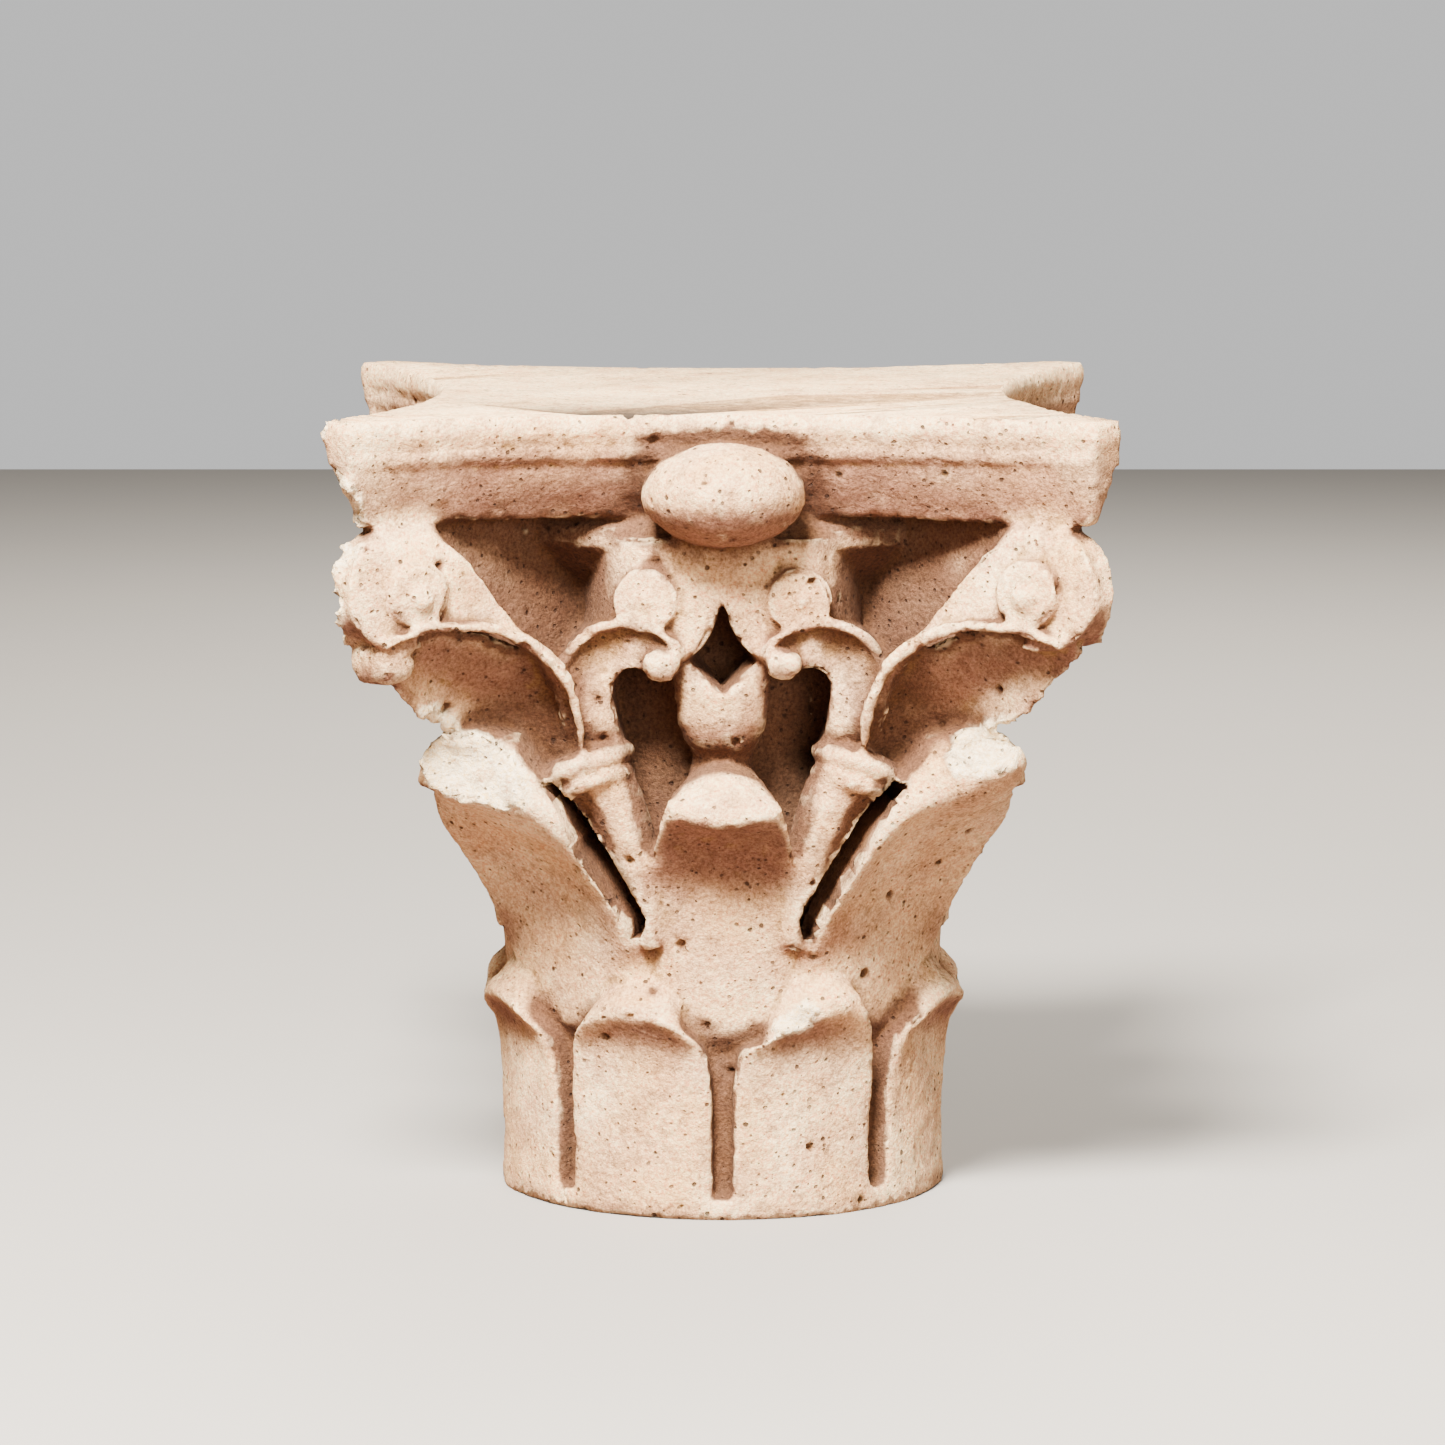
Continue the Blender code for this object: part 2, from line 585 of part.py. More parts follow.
def sheath():
    # The vase-shaped sheath between the small scrolls, notched at the top.
    foot = AXIAL_LEAF_LIP + 0.022
    top = HELIX_LEVEL - 0.031
    rise = top - foot
    half = SHEATH_WIDTH / 2
    reach = SHEATH_REACH
    stations = [
        (foot, reach - 0.022, half * 0.74, -0.008, 0),
        (foot + rise * 0.12, reach - 0.016, half * 0.68, -0.010, 0),
        (foot + rise * 0.26, reach - 0.006, half * 0.84, -0.012, 0),
        (foot + rise * 0.42, reach - 0.001, half * 0.97, -0.010, 0),
        (foot + rise * 0.56, reach + 0.001, half * 1.0, -0.007, 0.005),
        (foot + rise * 0.65, reach + 0.003, half * 1.06, -0.003, 0.020),
        (foot + rise * 0.68, reach + 0.002, half * 1.20, -0.001, 0.033),
    ]
    return leaf(0, stations, BELL_RADIUS, bend=1.1)


def abacus():
    hollow = ABACUS_HOLLOW
    edge = ABACUS_WIDTH / 2 - CORNER_CHAMFER
    bow = (edge * edge + hollow * hollow) / (2 * hollow)
    middle = ABACUS_WIDTH / 2 - hollow + bow
    corner = (ABACUS_WIDTH - CORNER_CHAMFER) / sqrt(2)
    steps = 22
    thick = ABACUS_THICKNESS
    rings = []
    for share, inset, cut in (
        (-0.02, 0.060, 0.030), (0.0, 0.026, 0.013), (0.10, 0.0225, 0.010), (0.26, 0.016, 0.007),
        (0.43, 0.0105, 0.005),
        (0.555, 0.0085, 0.004), (0.590, 0.0042, 0.003), (0.690, 0.0036, 0.002), (0.722, 0.0072, 0.002),
        (0.754, 0.0030, 0.001), (0.85, 0.0, 0.0), (0.95, 0.0010, 0.001), (1.0, 0.0040, 0.003),
        (1.0 + BED_MARGIN / thick, 0.009, 0.006),
    ):
        end = radians(45) - asin((middle / sqrt(2) - corner + cut) / (bow + inset * 0.45))
        ring = []
        for quarter in range(QUARTERS):
            turn = Matrix.Rotation(radians(90 * quarter), 3, "Z")
            for step in range(steps + 1):
                side = 2 * step / steps - 1
                angle = end * side
                easing = 1 - 0.55 * abs(side) ** 3
                arc = bow + inset * easing
                level = UNDERSIDE + thick * share
                ring.append(turn @ Vector((arc * sin(angle), arc * cos(angle) - middle, level)))
        rings.append(ring)
    return stacked_rings(rings)


def boss():
    depth = 0.042
    centre = Vector((0, depth - BOSS_REACH, HEIGHT - BOSS_DROP - BOSS_HEIGHT / 2))
    return ball(centre, (BOSS_WIDTH / 2, depth, BOSS_HEIGHT / 2), -8)


def break_ball(place, radii, turn, seed):
    # A rough blunt body that is cut away where the stone has broken.
    body = bmesh.new()
    bmesh.ops.create_icosphere(body, subdivisions=BREAK_FACETS, radius=1.0)
    for vert in body.verts:
        x, y, z = vert.co
        broad = sin(5.1 * x + seed) * sin(4.3 * y + 2 * seed)
        fine = sin(8.7 * z + 3 * seed) * sin(7.9 * x - seed)
        vert.co *= 1 + BREAK_ROUGHNESS * (broad + 0.6 * fine)
    shape = Matrix.Translation(place) @ Matrix.Rotation(radians(turn), 4, "Z")
    bmesh.ops.transform(body, matrix=shape @ Matrix.Diagonal((*radii, 1.0)), verts=body.verts)
    return body


def slots():
    whole = bmesh.new()
    for quarter in range(QUARTERS):
        for mirrored in (False, True):
            add_turned(whole, slot(), 90 * quarter, mirrored)
    return whole


def breaks():
    # Where the block is broken: the left front corner of the abacus and the volute below it, the
    # lips of both front corner leaves, the right front tip and one lower leaf.
    corner = (ABACUS_WIDTH - CORNER_CHAMFER) / sqrt(2)
    leaf_top = DIAGONAL_LEAF_LIP + 0.030
    places = (
        ("left_abacus_corner", polar(corner + 0.022, -46.5, UNDERSIDE + 0.004), (0.040, 0.034, 0.036), 20),
        ("left_abacus_edge", polar(corner + 0.018, -52, HEIGHT), (0.034, 0.028, 0.022), -30),
        ("left_volute", Vector((-0.312, -0.190, VOLUTE_LEVEL - 0.016)), (0.104, 0.100, 0.058), 0),
        ("left_leaf", polar(DIAGONAL_LEAF_REACH - 0.002, -36, leaf_top - 0.007), (0.052, 0.034, 0.043), -35),
        ("right_leaf", polar(DIAGONAL_LEAF_REACH - 0.006, 37, leaf_top + 0.008), (0.040, 0.026, 0.018), 38),
        ("right_tip", polar(corner + 0.002, 45, COLLAR_LEVEL + 0.068), (0.024, 0.020, 0.016), 45),
        ("right_lower_leaf", polar(LOWER_LEAF_REACH + 0.012, 11, LOWER_LEAF_LIP + 0.001),
            (0.033, 0.021, 0.022), 11),
    )
    found = {}
    for seed, (name, place, radii, turn) in enumerate(places, 1):
        found[name] = break_ball(place, radii, turn, seed)
    return found


def add_turned(whole, body, turn, mirrored=False):
    # Adds a copy of the body to the whole, mirrored across the front or not, turned round the axis.
    shape = Matrix.Rotation(radians(turn), 4, "Z")
    if mirrored:
        shape = shape @ Matrix.Scale(-1, 4, Vector((1, 0, 0)))
    copy = body.copy()
    bmesh.ops.transform(copy, matrix=shape, verts=copy.verts)
    bmesh.ops.recalc_face_normals(copy, faces=copy.faces)
    mesh = bpy.data.meshes.new("copy")
    copy.to_mesh(mesh)
    whole.from_mesh(mesh)
    copy.free()
    bpy.data.meshes.remove(mesh)


def carve_block():
    whole = bmesh.new()
    add_turned(whole, bell(), 0)
    add_turned(whole, abacus(), 0)
    for index in range(LEAVES_IN_ROW):
        slant = LEAF_SLANT if index == SLANTED_LEAF else 0.0
        add_turned(whole, lower_leaf(0, slant), 45 * index + 22.5)
    for quarter in range(QUARTERS):
        turn = 90 * quarter
        add_turned(whole, axial_leaf(0), turn)
        add_turned(whole, diagonal_leaf(45), turn)
        add_turned(whole, corner_web(), turn)
        add_turned(whole, sheath(), turn)
        add_turned(whole, boss(), turn)
        if quarter != BROKEN_TIP:
            add_turned(whole, calyx_tip(), turn)
        for piece in [stalk(), collar(), *outer_calyx(), *inner_calyx(), *volute(), *helix()]:
            for mirrored in (False, True):
                add_turned(whole, piece, turn, mirrored)
    return whole


def stone_material():
    material = bpy.data.materials.new("pale_stone")
    material.use_nodes = True
    shader = material.node_tree.nodes["Principled BSDF"]
    shader.inputs["Base Color"].default_value = STONE_COLOUR
    shader.inputs["Roughness"].default_value = STONE_ROUGHNESS
    shader.inputs["Metallic"].default_value = 0.0
    return material


def object_from(name, body, collection):
    mesh = bpy.data.meshes.new(name)
    body.to_mesh(mesh)
    body.free()
    item = bpy.data.objects.new(name, mesh)
    collection.objects.link(item)
    return item


def bed_block(collection):
    # The block that the two flat beds are sawn to.
    body = bmesh.new()
    bmesh.ops.create_cube(body, size=1.0)
    side = ABACUS_WIDTH * 2
    shape = Matrix.Translation((0, 0, HEIGHT / 2)) @ Matrix.Diagonal((side, side, HEIGHT, 1.0))
    bmesh.ops.transform(body, matrix=shape, verts=body.verts)
    cutter = object_from("beds", body, collection)
    cutter.hide_render = True
    cutter.display_type = "WIRE"
    return cutter


def main():
    clear_scene()
    parts = new_collection("corinthian_capital")
    cutters = new_collection("cutters")
    capital = object_from("capital", carve_block(), parts)
    capital.data.materials.append(stone_material())
    fuse = capital.modifiers.new("one_stone", "REMESH")
    fuse.mode = "VOXEL"
    fuse.voxel_size = GRAIN
    bpy.context.view_layer.update()
    fused = capital.evaluated_get(bpy.context.evaluated_depsgraph_get())
    dense = len(fused.data.polygons) * 2
    thin = capital.modifiers.new("facets", "DECIMATE")
    thin.ratio = TRIANGLES / dense
    thin.use_collapse_triangulate = True
    beds = capital.modifiers.new("flat_beds", "BOOLEAN")
    beds.operation = "INTERSECT"
    beds.solver = "EXACT"
    beds.object = bed_block(cutters)
    for name, body in {"slots": slots(), **breaks()}.items():
        cutter = object_from(name, body, cutters)
        cutter.hide_render = True
        cutter.display_type = "WIRE"
        cut = capital.modifiers.new(name, "BOOLEAN")
        cut.operation = "DIFFERENCE"
        cut.solver = "EXACT"
        cut.object = cutter


main()
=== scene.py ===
# Weathered limestone column capital: the carving is built again from the same forms as the solid,
# finely meshed, then worn, chipped, pitted and stained, and shade is painted into its colour on the
# undersides and in the sheltered hollows and creases. Metres, front towards -Y.
# Azimuths are degrees round the axis, 0 at the front and growing towards +X.
from math import asin, atan2, copysign, cos, pi, radians, sin, sqrt

import bmesh
import bpy
from mathutils import Matrix, Vector


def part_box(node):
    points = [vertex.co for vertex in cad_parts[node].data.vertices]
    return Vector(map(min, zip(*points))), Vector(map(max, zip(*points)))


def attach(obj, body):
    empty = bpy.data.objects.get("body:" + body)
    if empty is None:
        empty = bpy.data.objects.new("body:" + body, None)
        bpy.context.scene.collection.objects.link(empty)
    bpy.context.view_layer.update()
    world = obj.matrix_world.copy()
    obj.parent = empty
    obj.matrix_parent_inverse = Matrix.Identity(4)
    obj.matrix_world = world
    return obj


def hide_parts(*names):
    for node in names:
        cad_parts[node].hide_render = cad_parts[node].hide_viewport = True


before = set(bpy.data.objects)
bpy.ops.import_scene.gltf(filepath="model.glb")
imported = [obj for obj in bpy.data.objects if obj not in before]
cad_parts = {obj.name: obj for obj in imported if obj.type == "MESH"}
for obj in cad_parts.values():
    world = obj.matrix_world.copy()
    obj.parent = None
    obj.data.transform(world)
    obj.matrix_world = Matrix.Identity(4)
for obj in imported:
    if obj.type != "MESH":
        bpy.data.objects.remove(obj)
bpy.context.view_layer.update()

capitalLow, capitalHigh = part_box("capital")

block = {
    "height": round(capitalHigh[2], 3),
    "width": 0.450,
    "baseRadius": 0.131,
    "bedMargin": 0.012,
    "sides": 4,
    "lowerLeaves": 8,
}

# The top slab
abacusForm = {
    "thick": 0.060,
    "hollow": 0.057,
    "chamfer": 0.017,
}

# The bell behind the leaves
bellForm = {
    "groove": 0.118,
    "wall": 0.113,
    "throat": 0.126,
    "lip": 0.159,
    "lipThick": 0.014,
    "band": 0.013,
}

# The two rows of leaves
leafForm = {
    "lowerLip": 0.120,
    "lowerWidth": 0.090,
    "lowerReach": 0.147,
    "upperFoot": 0.103,
    "axialLip": 0.240,
    "axialWidth": 0.083,
    "axialReach": 0.180,
    "cornerLip": 0.246,
    "cornerWidth": 0.124,
    "cornerReach": 0.236,
    "slant": 0.013,
    "slanted": 0,
}

# The stalks that carry the volutes
stalkForm = {
    "radius": 0.0225,
    "level": 0.264,
    "azimuth": 29.8,
    "distance": 0.155,
    "ring": 0.0045,
    "slotRise": 0.062,
    "slotDepth": 0.122,
}

# The corner volutes
voluteForm = {
    "drop": 0.038,
    "radius": 0.041,
    "eye": 0.0185,
    "eyeRun": 0.039,
    "plate": 0.018,
    "turn": 26.0,
    "eyeProud": 0.0055,
    "easing": 0.012,
    "span": 0.133,
    "gap": 0.005,
}

# The small scrolls in the middle of each side
helixForm = {
    "drop": 0.046,
    "radius": 0.043,
    "eye": 0.0185,
    "distance": 0.168,
}

underside = block["height"] - abacusForm["thick"]
voluteLevel = underside - voluteForm["drop"]
helixLevel = underside - helixForm["drop"]
cornerReach = (block["width"] - abacusForm["chamfer"]) / sqrt(2)


def polar(radius, azimuth, level):
    angle = radians(azimuth)
    return Vector((radius * sin(angle), -radius * cos(angle), level))


def smoothThrough(points, share):
    # The place at a share of the way along a smooth line through points of any dimension.
    last = len(points) - 1
    place = min(max(share, 0.0), 1.0) * last
    index = min(int(place), last - 1)
    step = place - index
    before, start, end, after = (points[min(max(index + shift, 0), last)] for shift in (-1, 0, 1, 2))
    found = []
    for p, a, b, n in zip(before, start, end, after):
        bend = (2 * p - 5 * a + 4 * b - n) * step * step + (3 * a - p - 3 * b + n) * step ** 3
        found.append(0.5 * (2 * a + (b - p) * step + bend))
    return found


def closedSheet(outer, inner, rows, columns):
    # A closed body between two sheets, each a function of the shares up and across.
    body = bmesh.new()
    sides = []
    for sheet in (outer, inner):
        grid = []
        for row in range(rows + 1):
            line = [body.verts.new(sheet(row / rows, column / columns)) for column in range(columns + 1)]
            grid.append(line)
        sides.append(grid)
    for grid, turned in zip(sides, (False, True)):
        for row in range(rows):
            for column in range(columns):
                low, high = grid[row], grid[row + 1]
                ring = [low[column], low[column + 1], high[column + 1], high[column]]
                body.faces.new(ring[::-1] if turned else ring)
    front, back = sides
    for column in range(columns):
        body.faces.new([front[0][column + 1], front[0][column], back[0][column], back[0][column + 1]])
        body.faces.new([front[-1][column], front[-1][column + 1], back[-1][column + 1], back[-1][column]])
    for row in range(rows):
        body.faces.new([front[row][0], front[row + 1][0], back[row + 1][0], back[row][0]])
        body.faces.new([front[row + 1][-1], front[row][-1], back[row][-1], back[row + 1][-1]])
    return body


def stackedRings(rings):
    # A closed body through rings of equally many points, with a flat cap at each end.
    body = bmesh.new()
    loops = [[body.verts.new(point) for point in ring] for ring in rings]
    count = len(loops[0])
    for low, high in zip(loops, loops[1:]):
        for index in range(count):
            ahead = (index + 1) % count
            body.faces.new([low[index], low[ahead], high[ahead], high[index]])
    body.faces.new(loops[0][::-1])
    body.faces.new(loops[-1])
    return body


def turnedBody(profile, steps):
    rings = []
    for radius, level in profile:
        rings.append([polar(radius, 360 * step / steps, level) for step in range(steps)])
    return stackedRings(rings)


def ball(centre, radii, turn=0.0, blunt=1.0):
    # An egg that grows boxier as blunt falls below 1.
    body = bmesh.new()
    bmesh.ops.create_uvsphere(body, u_segments=28, v_segments=18, radius=1.0)
    for vert in body.verts:
        vert.co = [copysign(abs(part) ** blunt, part) for part in vert.co]
    shape = Matrix.Translation(centre) @ Matrix.Rotation(radians(turn), 4, "X")
    bmesh.ops.transform(body, matrix=shape @ Matrix.Diagonal((*radii, 1.0)), verts=body.verts)
    return body


def tube(path, radii, sides):
    rings = []
    for index, point in enumerate(path):
        ahead = path[min(index + 1, len(path) - 1)] - path[max(index - 1, 0)]
        turn = ahead.to_track_quat("Z", "Y")
        ring = []
        for side in range(sides):
            angle = 2 * pi * side / sides
            ring.append(point + turn @ Vector((radii[index] * cos(angle), radii[index] * sin(angle), 0)))
        rings.append(ring)
    return stackedRings(rings)


class Plane:
    # An upright plane through a point, with its face turned from the front.
    def __init__(self, point, turn):
        angle = radians(turn)
        self.origin = Vector((point.x, point.y, 0))
        self.along = Vector((cos(angle), -sin(angle), 0))
        self.outward = Vector((-sin(angle), -cos(angle), 0))

    def at(self, run, level, proud=0.0):
        return self.origin + self.along * run + self.outward * proud + Vector((0, 0, level))


def plate(plane, outline, front, back):
    # The outline in the plane, from the front depth to the back, leaning back under the abacus. Its
    # top lies below the abacus in front and inside it behind.
    rings = []
    for depth, share in ((front, 0.0), (0.5 * (front + back), 0.7), (back, 1.0)):
        top = underside - voluteForm["gap"] * (1 - 2 * share)
        ring = []
        for run, level in outline:
            level = min(level, top)
            lean = max(level - underside + voluteForm["easing"], 0.0)
            ring.append(plane.at(run, level, depth - lean * (1 - share)))
        rings.append(ring)
    return stackedRings(rings)


def bell():
    shoulder = leafForm["upperFoot"] + 0.010
    slotFoot = leafForm["upperFoot"] + 0.062
    lipTop = underside - 0.006
    lipFoot = lipTop - bellForm["lipThick"]
    base, groove, wall = block["baseRadius"], bellForm["groove"], bellForm["wall"]
    throat, lip, band = bellForm["throat"], bellForm["lip"], bellForm["band"]
    profile = [
        (base - 0.002, -block["bedMargin"]), (base, 0.003), (base, band - 0.002), (groove, band + 0.002),
        (groove, shoulder - 0.014), (groove + 0.008, shoulder), (groove + 0.010, slotFoot - 0.010),
        (wall, slotFoot + 0.004), (wall, stalkForm["level"]), (throat - 0.004, helixLevel - 0.030),
        (throat + 0.006, helixLevel + 0.004), (throat + 0.020, lipFoot - 0.010),
        (lip - 0.006, lipFoot - 0.002), (lip, lipFoot + 0.002), (lip, lipTop - 0.001),
        (lip - 0.010, underside), (lip - 0.020, underside + 0.012),
    ]
    return turnedBody(profile, 96)


def leaf(azimuth, stations, depth, ridge=1.0, roll=0.0, root=1.0, bend=2.0, slant=0.0):
    # A blade against the bell. A station holds its level, the radius of its middle, its half width,
    # how far its ridges stand proud of the middle, and how far they rise above it.
    # Beyond the ridges, at a share of the half width, the edges roll back towards the bell.
    # The root is the width at the back as a share of the width in front. A bend of 2 rises in a
    # round arc and a bend of 1 in a notch. The slant lifts one end of the lip and lowers the other.
    def outer(up, across):
        level, radius, half, proud, rise = smoothThrough(stations, up)
        side = 2 * across - 1
        lift = proud * min(abs(side) / ridge, 1.0) ** 2.6
        beyond = max(abs(side) - ridge, 0.0) / max(1.0 - ridge, 0.001)
        worn = 0.003 * max(abs(side) - 0.88, 0.0) / 0.12
        swing = side * half / max(radius, depth)
        radius += lift - roll * beyond ** 1.4 - worn
        level += rise * abs(side) ** bend + slant * side * min(max(up * 3 - 1, 0.0), 1.0)
        return polar(radius, azimuth + swing * 180 / pi, level)

    def inner(up, across):
        point = outer(up, across)
        swing = atan2(point.x, -point.y) * 180 / pi - azimuth
        return polar(depth, azimuth + swing * root, point.z)

    return closedSheet(outer, inner, 30, 22)


def lowerLeaf(azimuth, slant=0.0):
    lip = leafForm["lowerLip"]
    half = leafForm["lowerWidth"] / 2
    reach = leafForm["lowerReach"]
    face = block["baseRadius"]
    stations = [
        (bellForm["band"] - 0.006, face, half + 0.001, 0, 0),
        (lip * 0.30, face - 0.001, half, 0.001, 0),
        (lip * 0.60, face - 0.001, half, 0.003, 0),
        (lip * 0.82, face + 0.002, half - 0.002, 0.004, -0.002),
        (lip - 0.008, reach - 0.007, half - 0.006, 0.003, -0.006),
        (lip, reach, half - 0.010, -0.001, -0.008),
        (lip + 0.006, reach - 0.001, half - 0.014, -0.004, -0.008),
        (lip + 0.017, reach - 0.012, half - 0.019, -0.006, -0.008),
        (lip + 0.031, face - 0.005, half - 0.028, -0.006, -0.006),
        (lip + 0.039, bellForm["groove"], half - 0.034, 0, 0),
    ]
    return leaf(azimuth, stations, bellForm["groove"] - 0.020, slant=slant)


def axialLeaf(azimuth):
    foot, lip = leafForm["upperFoot"], leafForm["axialLip"]
    rise = lip - foot
    half = leafForm["axialWidth"] / 2
    face, reach = block["baseRadius"], leafForm["axialReach"]
    stations = [
        (foot - 0.008, bellForm["groove"] - 0.002, 0.010, 0, 0),
        (foot + 0.006, face - 0.006, 0.020, 0, 0),
        (foot + rise * 0.22, face - 0.003, half - 0.002, 0, 0),
        (foot + rise * 0.37, face - 0.001, half, 0.001, 0),
        (foot + rise * 0.50, face + 0.001, half, 0.004, 0),
        (foot + rise * 0.66, face + 0.004, half - 0.001, 0.009, 0),
        (foot + rise * 0.80, face + 0.013, half - 0.002, 0.012, 0),
        (foot + rise * 0.91, face + 0.026, half - 0.005, 0.011, 0.002),
        (lip - 0.005, reach - 0.008, half - 0.007, 0.006, 0.008),
        (lip - 0.002, reach, half - 0.008, -0.001, 0.009),
        (lip + 0.007, reach - 0.002, half - 0.008, -0.005, 0.003),
        (lip + 0.018, reach - 0.009, half - 0.012, -0.009, -0.004),
        (lip + 0.027, reach - 0.021, half - 0.019, -0.010, -0.006),
        (lip + 0.034, bellForm["throat"] - 0.004, half - 0.029, 0, -0.006),
    ]
    return leaf(azimuth, stations, bellForm["wall"] - 0.020)


def diagonalLeaf(azimuth):
    foot, lip = leafForm["upperFoot"], leafForm["cornerLip"]
    rise = lip - foot
    half = leafForm["cornerWidth"] / 2
    face, reach = block["baseRadius"], leafForm["cornerReach"]
    swell = reach - face
    stations = [
        (foot - 0.008, bellForm["groove"] - 0.002, 0.012, 0, 0),
        (foot + 0.006, face - 0.006, 0.024, 0, 0),
        (foot + rise * 0.21, face - 0.001, half - 0.002, 0, 0),
        (foot + rise * 0.35, face + 0.002, half + 0.001, 0.004, 0),
        (foot + rise * 0.47, face + 0.006, half + 0.001, 0.009, 0),
        (foot + rise * 0.60, face + swell * 0.13, half - 0.002, 0.013, 0),
        (foot + rise * 0.75, face + swell * 0.27, half - 0.003, 0.014, 0),
        (foot + rise * 0.88, face + swell * 0.45, half - 0.005, 0.012, 0.002),
        (foot + rise * 0.96, face + swell * 0.62, half - 0.008, 0.002, 0.004),
        (lip + 0.002, face + swell * 0.78, half - 0.011, -0.012, 0.004),
        (lip + 0.012, reach - 0.010, half - 0.016, -0.024, 0.004),
        (lip + 0.024, reach, half - 0.024, -0.030, 0.002),
        (lip + 0.034, reach - 0.006, half - 0.032, -0.028, 0),
        (lip + 0.042, reach - 0.020, half - 0.038, -0.020, -0.002),
        (lip + 0.046, reach - 0.044, half - 0.044, -0.010, -0.004),
        (lip + 0.044, bellForm["throat"], half - 0.052, 0, 0),
    ]
    return leaf(azimuth, stations, bellForm["wall"] - 0.020, 0.78, 0.007, 0.35)


def stalk():
    # Its stations hold the share of the way up to the collar, the azimuth, how far inside the
    # collar's distance the middle lies, and the radius as a share of the radius at the collar.
    foot = leafForm["upperFoot"] + 0.056
    length = stalkForm["level"] - foot
    top = stalkForm["azimuth"]
    stations = [
        (0.00, top - 12.2, 0.023, 0.30), (0.15, top - 11.5, 0.021, 0.38), (0.39, top - 10.1, 0.017, 0.52),
        (0.63, top - 8.0, 0.011, 0.66), (0.87, top - 4.6, 0.005, 0.76), (1.00, top, 0.0, 0.84),
    ]
    steps = 18
    path, radii = [], []
    for step in range(steps + 1):
        share, azimuth, inset, size = smoothThrough(stations, step / steps)
        path.append(polar(stalkForm["distance"] - inset, azimuth, foot + length * share))
        radii.append(stalkForm["radius"] * size)
    return tube(path, radii, 24)


def collar():
    # Two rings round the top of the stalk, square to its lean.
    centre = polar(stalkForm["distance"], stalkForm["azimuth"], stalkForm["level"])
    angle = radians(stalkForm["azimuth"])
    side = Vector((cos(angle), sin(angle), 0))
    lean = (Vector((0, 0, 1)) + side * 0.42).normalized()
    ring = stalkForm["ring"]
    section = [
        (-3.0, -0.6), (-2.6, 0.2), (-2.1, 0.55), (-1.5, 0.55), (-1.0, 0.1), (-0.75, 0.1),
        (-0.4, 0.9), (0.3, 1.4), (1.0, 1.45), (1.7, 1.0), (2.0, 0.2), (2.6, -0.5),
    ]
    path = [centre + lean * ring * level for level, _ in section]
    radii = [stalkForm["radius"] + ring * proud for _, proud in section]
    return tube(path, radii, 32)


def slot():
    # The deep slot between a stalk and the leaf beside it. Its near side is cut straight back and its
    # far side slants in. Its stations hold the rise, how far the near side lies from the middle of
    # the front, and the width of the mouth.
    foot = leafForm["upperFoot"] + stalkForm["slotRise"]
    stations = [
        (0.000, 0.0475, 0.010), (0.006, 0.0445, 0.018), (0.012, 0.0440, 0.023), (0.024, 0.0500, 0.021),
        (0.036, 0.0567, 0.019), (0.048, 0.0637, 0.017), (0.060, 0.0715, 0.014), (0.072, 0.0785, 0.011),
        (0.084, 0.0875, 0.008), (0.094, 0.0975, 0.005),
    ]
    rings = []
    for rise, near, mouth in stations:
        front = -leafForm["axialReach"] - 0.015
        back = -sqrt(stalkForm["slotDepth"] ** 2 - near ** 2)
        ring = [(near, front), (near + mouth * 1.5, front), (near + mouth * 0.3, back), (near, back + 0.003)]
        rings.append([Vector((x, y, foot + rise)) for x, y in ring])
    return stackedRings(rings)


def volutePlane():
    half = block["width"] / 2
    return Plane(Vector((half - 0.018, 0.006 - half, 0)), voluteForm["turn"])


def rimLine():
    # The rim of the outer calyx leaf in the volute's plane, from the collar to the corner: how far
    # along, the level, and how far it stands proud of the plane.
    rise = voluteLevel - stalkForm["level"]
    shares = [
        (-1.095, 0.02, -0.008), (-1.055, 0.16, 0.001), (-1.018, 0.31, 0.008), (-0.975, 0.45, 0.011),
        (-0.915, 0.58, 0.012), (-0.81, 0.70, 0.011), (-0.67, 0.79, 0.009), (-0.53, 0.825, 0.007),
        (-0.40, 0.825, 0.006), (-0.28, 0.80, 0.005), (-0.17, 0.76, 0.003), (-0.11, 0.715, 0.001),
    ]
    return [(voluteForm["span"] * run, stalkForm["level"] + rise * up, proud) for run, up, proud in shares]


def roundDisc(eye, radius):
    steps = 28
    angles = [2 * pi * step / steps for step in range(steps)]
    return [(eye.x + radius * cos(angle), eye.y + radius * sin(angle)) for angle in angles]


def volute():
    plane = volutePlane()
    span = voluteForm["span"]
    eye = Vector((-voluteForm["eyeRun"], voluteLevel))
    outline = [(run, level + 0.004) for run, level, _ in rimLine()[2:10]]
    for step in range(17):
        angle = radians(-100 + 205 * step / 16)
        wind = voluteForm["radius"] * (0.76 + 0.24 * min(step / 7, 1.0))
        outline.append((eye.x + wind * cos(angle), eye.y + wind * sin(angle)))
    rise = voluteLevel - stalkForm["level"]
    for run, up in ((-0.40, 1.37), (-0.52, 1.17), (-0.66, 0.965), (-0.80, 0.745), (-0.90, 0.57)):
        outline.append((span * run, stalkForm["level"] + rise * up))
    thick, proud = voluteForm["plate"], voluteForm["eyeProud"]
    pieces = [plate(plane, outline, 0, -thick)]
    pieces.append(plate(plane, roundDisc(eye, voluteForm["eye"]), proud, -thick / 2))
    pieces.append(ball(plane.at(eye.x, eye.y - 0.002, proud), (0.0075, 0.005, 0.0075)))
    return pieces


